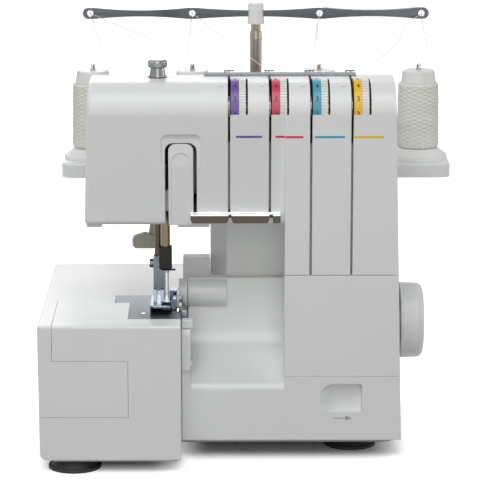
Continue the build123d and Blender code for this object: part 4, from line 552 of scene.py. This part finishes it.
def text_mesh(text, height):
    """Flat text as points (x, y) centred on zero and its faces, scaled to a height."""
    curve = bpy.data.curves.new("number", "FONT")
    curve.body = text
    curve.offset = NUMBER_WEIGHT
    holder = bpy.data.objects.new("number", curve)
    flat = bpy.data.meshes.new_from_object(holder)
    points = np.zeros(len(flat.vertices) * 3)
    flat.vertices.foreach_get("co", points)
    faces = [list(p.vertices) for p in flat.polygons]
    bpy.data.objects.remove(holder)
    bpy.data.meshes.remove(flat)
    points = points.reshape(-1, 3)[:, :2]
    size = np.ptp(points, axis=0)
    return (points - points.min(0) - size / 2) * height / size[1], faces


def wrapped_numbers(x, y, z, radius):
    """Numbers round a wheel on X: a point (u, v) goes to x + u and to the angle v / r past its number's
    place."""
    all_points, all_faces, count = [], [], 0
    reach = radius + NUMBER_LIFT
    for number in range(DIAL_NUMBERS):
        flat, faces = text_mesh(str(number), NUMBER_HEIGHT)
        angle = SHOWN_ANGLE + (number - SHOWN_NUMBER) * NUMBER_STEP + flat[:, 1] / radius
        bent = [x + NUMBER_WIDTH * flat[:, 0], y - reach * np.cos(angle), z + reach * np.sin(angle)]
        all_points.append(np.column_stack(bent))
        all_faces += [[v + count for v in face] for face in faces]
        count += len(flat)
    return np.vstack(all_points), all_faces


for i in range(len(DIAL_COLOURS)):
    low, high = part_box(f"tension_dial_{i + 1}")
    middle = (low + high) / 2
    points, faces = wrapped_numbers(low.x + BAND_WIDTH / 2, middle.y, middle.z, (high.z - low.z) / 2)
    make_piece(f"dial_numbers_{i + 1}", points, faces, dark_ink, f"dial_{i + 1}", smooth=False)
print("numbers on", len(DIAL_COLOURS), "dials, faces each", len(faces))

# %% [markdown]
# ## The presser spring
#
# The spring round the presser bar is pressed together when the foot is lifted: its upper end stays where it
# is and the bar's collar comes up from below, which would cut a rigid coil. This one is a copy of the packed
# coil, with its loose triangles merged, on the machine's body.

packed = nodes["presser_spring"].data
points = np.zeros(3 * len(packed.vertices))
packed.vertices.foreach_get("co", points)
corners = np.zeros(len(packed.loops), dtype=int)
packed.loops.foreach_get("vertex_index", corners)
merged, places = np.unique(points.reshape(-1, 3).round(7), axis=0, return_inverse=True)
faces = places.ravel()[corners].reshape(-1, 3)
low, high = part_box("presser_spring")
coil = make_piece("presser_coil", merged, faces, polished_steel, "machine")
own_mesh(coil)
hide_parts("presser_spring")
print("presser spring:", len(merged), "points,", len(faces), "triangles")

# %% [markdown]
# ## Printed marks
#
# A short grey dash beside each dial is the mark that its number is read against, and a bar in the dial's
# colour lower down tells which thread runs there. An arrow shows how the front cover opens, and lines on the
# needle plate give the width of the seam. Print follows the face that it is on, so each mark is a small grid
# of points that rays set down on the casing, lifted off it by a hair.

# %% Set print on a face
INK_LIFT = 0.06 * MM
bpy.context.view_layer.update()


def printed(name, across, up, finish, node="front_cover", body="machine", downwards=False, pointed=False,
            columns=9, rows=5):
    """Grid (a, b) over two ranges, in millimetres: a ray along Y through (x, z), or down through (x, y),
    finds the face, and the point moves out along its normal. A pointed mark narrows to nothing on its
    right."""
    a, b = np.meshgrid(np.linspace(0, 1, columns), np.linspace(-1, 1, rows))
    taper = 1 - a if pointed else 1
    x = (across[0] + a * (across[1] - across[0])) * MM
    other = ((up[0] + up[1]) / 2 + taper * b * (up[1] - up[0]) / 2) * MM
    outside = np.ones_like(x)
    starts = np.stack([x, other, outside] if downwards else [x, -outside, other], -1).reshape(-1, 3)
    ray = (0, 0, -1) if downwards else (0, 1, 0)
    hits = [nodes[node].ray_cast(start, ray) for start in starts.tolist()]
    points = np.array([place + INK_LIFT * normal for _, place, normal, _ in hits])
    return make_piece(name, points, grid_faces(rows, columns), finish, body)


# %% Marks
DASH_XS = (-26.3, 3.8, 34.0, 64.4)        # millimetres, as all places of marks are
DASH_LENGTH = 3.5
DASH_HEIGHTS = (284.2, 284.5)
BAR_RANGES = (((-13.8, 5.5),), ((15.5, 22.6), (23.0, 36.3)), ((44.8, 67.0),), ((73.7, 95.9),))
BAR_HEIGHTS = (247.5, 249.1)
ARROW_XS = (59.8, 69.3, 74.3)             # tail, root of the head, tip
SHAFT_HEIGHTS = (31.4, 32.1)
HEAD_HEIGHTS = (29.8, 33.7)
SEAM_XS = (-64.2, -58.9)
SEAM_YS = (-105.0, -100.0)
SEAM_LENGTH = 3.2
SEAM_WIDTH = 0.9

for i, x in enumerate(DASH_XS):
    printed(f"dial_dash_{i + 1}", (x, x + DASH_LENGTH), DASH_HEIGHTS, grey_ink)
    for k, across in enumerate(BAR_RANGES[i]):
        bar_ink = ink(f"print_ink_{i + 1}_{k + 1}", DIAL_COLOURS[i])
        printed(f"thread_mark_{i + 1}_{k + 1}", across, BAR_HEIGHTS, bar_ink)
printed("cover_arrow_shaft", ARROW_XS[:2], SHAFT_HEIGHTS, grey_ink, "looper_cover", "cover")
printed("cover_arrow_head", ARROW_XS[1:], HEAD_HEIGHTS, grey_ink, "looper_cover", "cover", pointed=True)
for i, x in enumerate(SEAM_XS):
    for k, y in enumerate(SEAM_YS):
        printed(f"seam_line_{i + 1}_{k + 1}", (x, x + SEAM_LENGTH), (y, y + SEAM_WIDTH), grey_ink,
                "needle_plate", downwards=True)
print("printed:", len(DASH_XS), "dashes,", sum(map(len, BAR_RANGES)), "bars, an arrow and the seam lines")

# %% [markdown]
# ## The studio
#
# A catalogue picture stands the machine on white. The floor is plain and white to the camera and in
# reflections, and glows a little more with every centimetre away from the machine, which leaves only the
# shadow close to it. To the light that bounces it is a grey floor, so that the undersides stay in shade.

# %% Floor
FLOOR_HALF = 6.0
FLOOR_SEEN = "#f6f6f6"
FLOOR_BOUNCING = "#8a8a8a"
FLOOR_GLOW = 0.9
SHADOW_INSET = 25 * MM
SHADOW_REACH = 50 * MM
side = np.linspace(-FLOOR_HALF, FLOOR_HALF, 2)
floor_points = np.stack([*np.meshgrid(side, side), np.zeros((2, 2))], -1)
floor_paint, tree, surface = new_material("studio_floor_white", Roughness=0.9)


def seen_rays(tree):
    """1 for rays that show what they hit, straight, in a reflection or through glass, and 0 for rays that
    only light."""
    rays = add_node(tree, "ShaderNodeLightPath").outputs
    shown = add_node(tree, "ShaderNodeMath", {"operation": "MAXIMUM"}, in0=rays["Is Camera Ray"],
                     in1=rays["Is Glossy Ray"])
    shown = add_node(tree, "ShaderNodeMath", {"operation": "MAXIMUM"}, in0=shown.outputs[0],
                     in1=rays["Is Transmission Ray"])
    return shown.outputs[0]


def distance_from(tree, place, *names):
    """How far a place on the floor is outside the footprint of some nodes, from SHADOW_INSET inside its edge
    on: the length of max(|place - centre| - half size, 0)."""
    corners = np.array([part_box(name) for name in names])
    low, high = corners[:, 0].min(0), corners[:, 1].max(0)
    centre, half = (low + high) / 2, (high - low) / 2
    inner = (half[0] - SHADOW_INSET, half[1] - SHADOW_INSET, 0)
    middle = (centre[0], centre[1], 0)
    step = add_node(tree, "ShaderNodeVectorMath", {"operation": "SUBTRACT"}, in0=place, in1=middle)
    step = add_node(tree, "ShaderNodeVectorMath", {"operation": "ABSOLUTE"}, in0=step.outputs[0])
    step = add_node(tree, "ShaderNodeVectorMath", {"operation": "SUBTRACT"}, in0=step.outputs[0], in1=inner)
    step = add_node(tree, "ShaderNodeVectorMath", {"operation": "MAXIMUM"}, in0=step.outputs[0],
                    in1=(0, 0, 0))
    step = add_node(tree, "ShaderNodeVectorMath", {"operation": "LENGTH"}, in0=step.outputs[0])
    return step.outputs["Value"]


seen = seen_rays(tree)
tint = add_node(tree, "ShaderNodeMix", {"data_type": "RGBA"}, Factor=seen, in6=linear(FLOOR_BOUNCING),
                in7=linear(FLOOR_SEEN))
tree.links.new(tint.outputs[2], surface.inputs["Base Color"])
place = add_node(tree, "ShaderNodeTexCoord").outputs["Object"]
from_body = distance_from(tree, place, "bed_housing", "looper_cover")
from_table = distance_from(tree, place, "extension_table")
away = add_node(tree, "ShaderNodeMath", {"operation": "MINIMUM"}, in0=from_body, in1=from_table).outputs[0]
glow = add_node(tree, "ShaderNodeMapRange", {"interpolation_type": "SMOOTHSTEP"}, Value=away,
                From_Max=SHADOW_REACH, To_Max=FLOOR_GLOW)
glow = add_node(tree, "ShaderNodeMath", {"operation": "MULTIPLY"}, in0=seen, in1=glow.outputs["Result"])
surface.inputs["Emission Color"].default_value = (1, 1, 1, 1)
tree.links.new(glow.outputs[0], surface.inputs["Emission Strength"])
floor = make_piece("studio_floor", floor_points, [[0, 1, 3, 2]], floor_paint, None, smooth=False)

# %% [markdown]
# ## The light
#
# One wide soft lamp from above and in front makes the upper faces almost white and the front ones a light
# grey. Weaker ones stand round the machine, so that light also gets under the arm and no side is left dark.
# The world is white where it is seen and adds only a little light of its own.

# %% Light
WORLD_LIGHT = 0.12
LAMP_TARGET = (0, 0, 0.15)
COOL = (0.975, 0.988, 1.0)
PLAIN = (1.0, 1.0, 1.0)
WARM = (1.0, 0.985, 0.945)

world = bpy.data.worlds.new("studio")
bpy.context.scene.world = world
world.use_nodes = True
tree = world.node_tree
level = add_node(tree, "ShaderNodeMapRange", Value=seen_rays(tree), To_Min=WORLD_LIGHT, To_Max=1.0)
tree.nodes["Background"].inputs["Color"].default_value = (1, 1, 1, 1)
tree.links.new(level.outputs["Result"], tree.nodes["Background"].inputs["Strength"])


def soft_light(name, place, target, width, power, colour):
    """Square area lamp at a place, turned towards a target."""
    lamp = bpy.data.lights.new(name, "AREA")
    lamp.size = width
    lamp.energy = power
    lamp.color = colour
    holder = bpy.data.objects.new(name, lamp)
    holder.location = place
    aim = np.array(target) - np.array(place)
    flat = math.hypot(aim[0], aim[1])
    holder.rotation_euler = (math.atan2(flat, -aim[2]), 0, math.atan2(aim[0], -aim[1]) + math.pi)
    bpy.context.scene.collection.objects.link(holder)


LAMPS = {    # place, width in metres, power in watts, colour
    "key": ((-0.2, -1.25, 1.85), 1.4, 20, COOL),
    "front": ((0, -2.2, 0.8), 1.2, 9, WARM),
    "right": ((2.1, 0.1, 0.7), 1.2, 9, PLAIN),
    "left": ((-1.9, -0.2, 1.3), 1.2, 8.5, PLAIN),
    "back": ((-0.4, 1.9, 1.0), 1.2, 8, PLAIN),
}
for name, (place, width, power, colour) in LAMPS.items():
    soft_light(name, place, LAMP_TARGET, width, power, colour)
bpy.context.scene.view_settings.view_transform = "Standard"
print(len(LAMPS), "lamps of", sum(lamp[2] for lamp in LAMPS.values()), "W together")
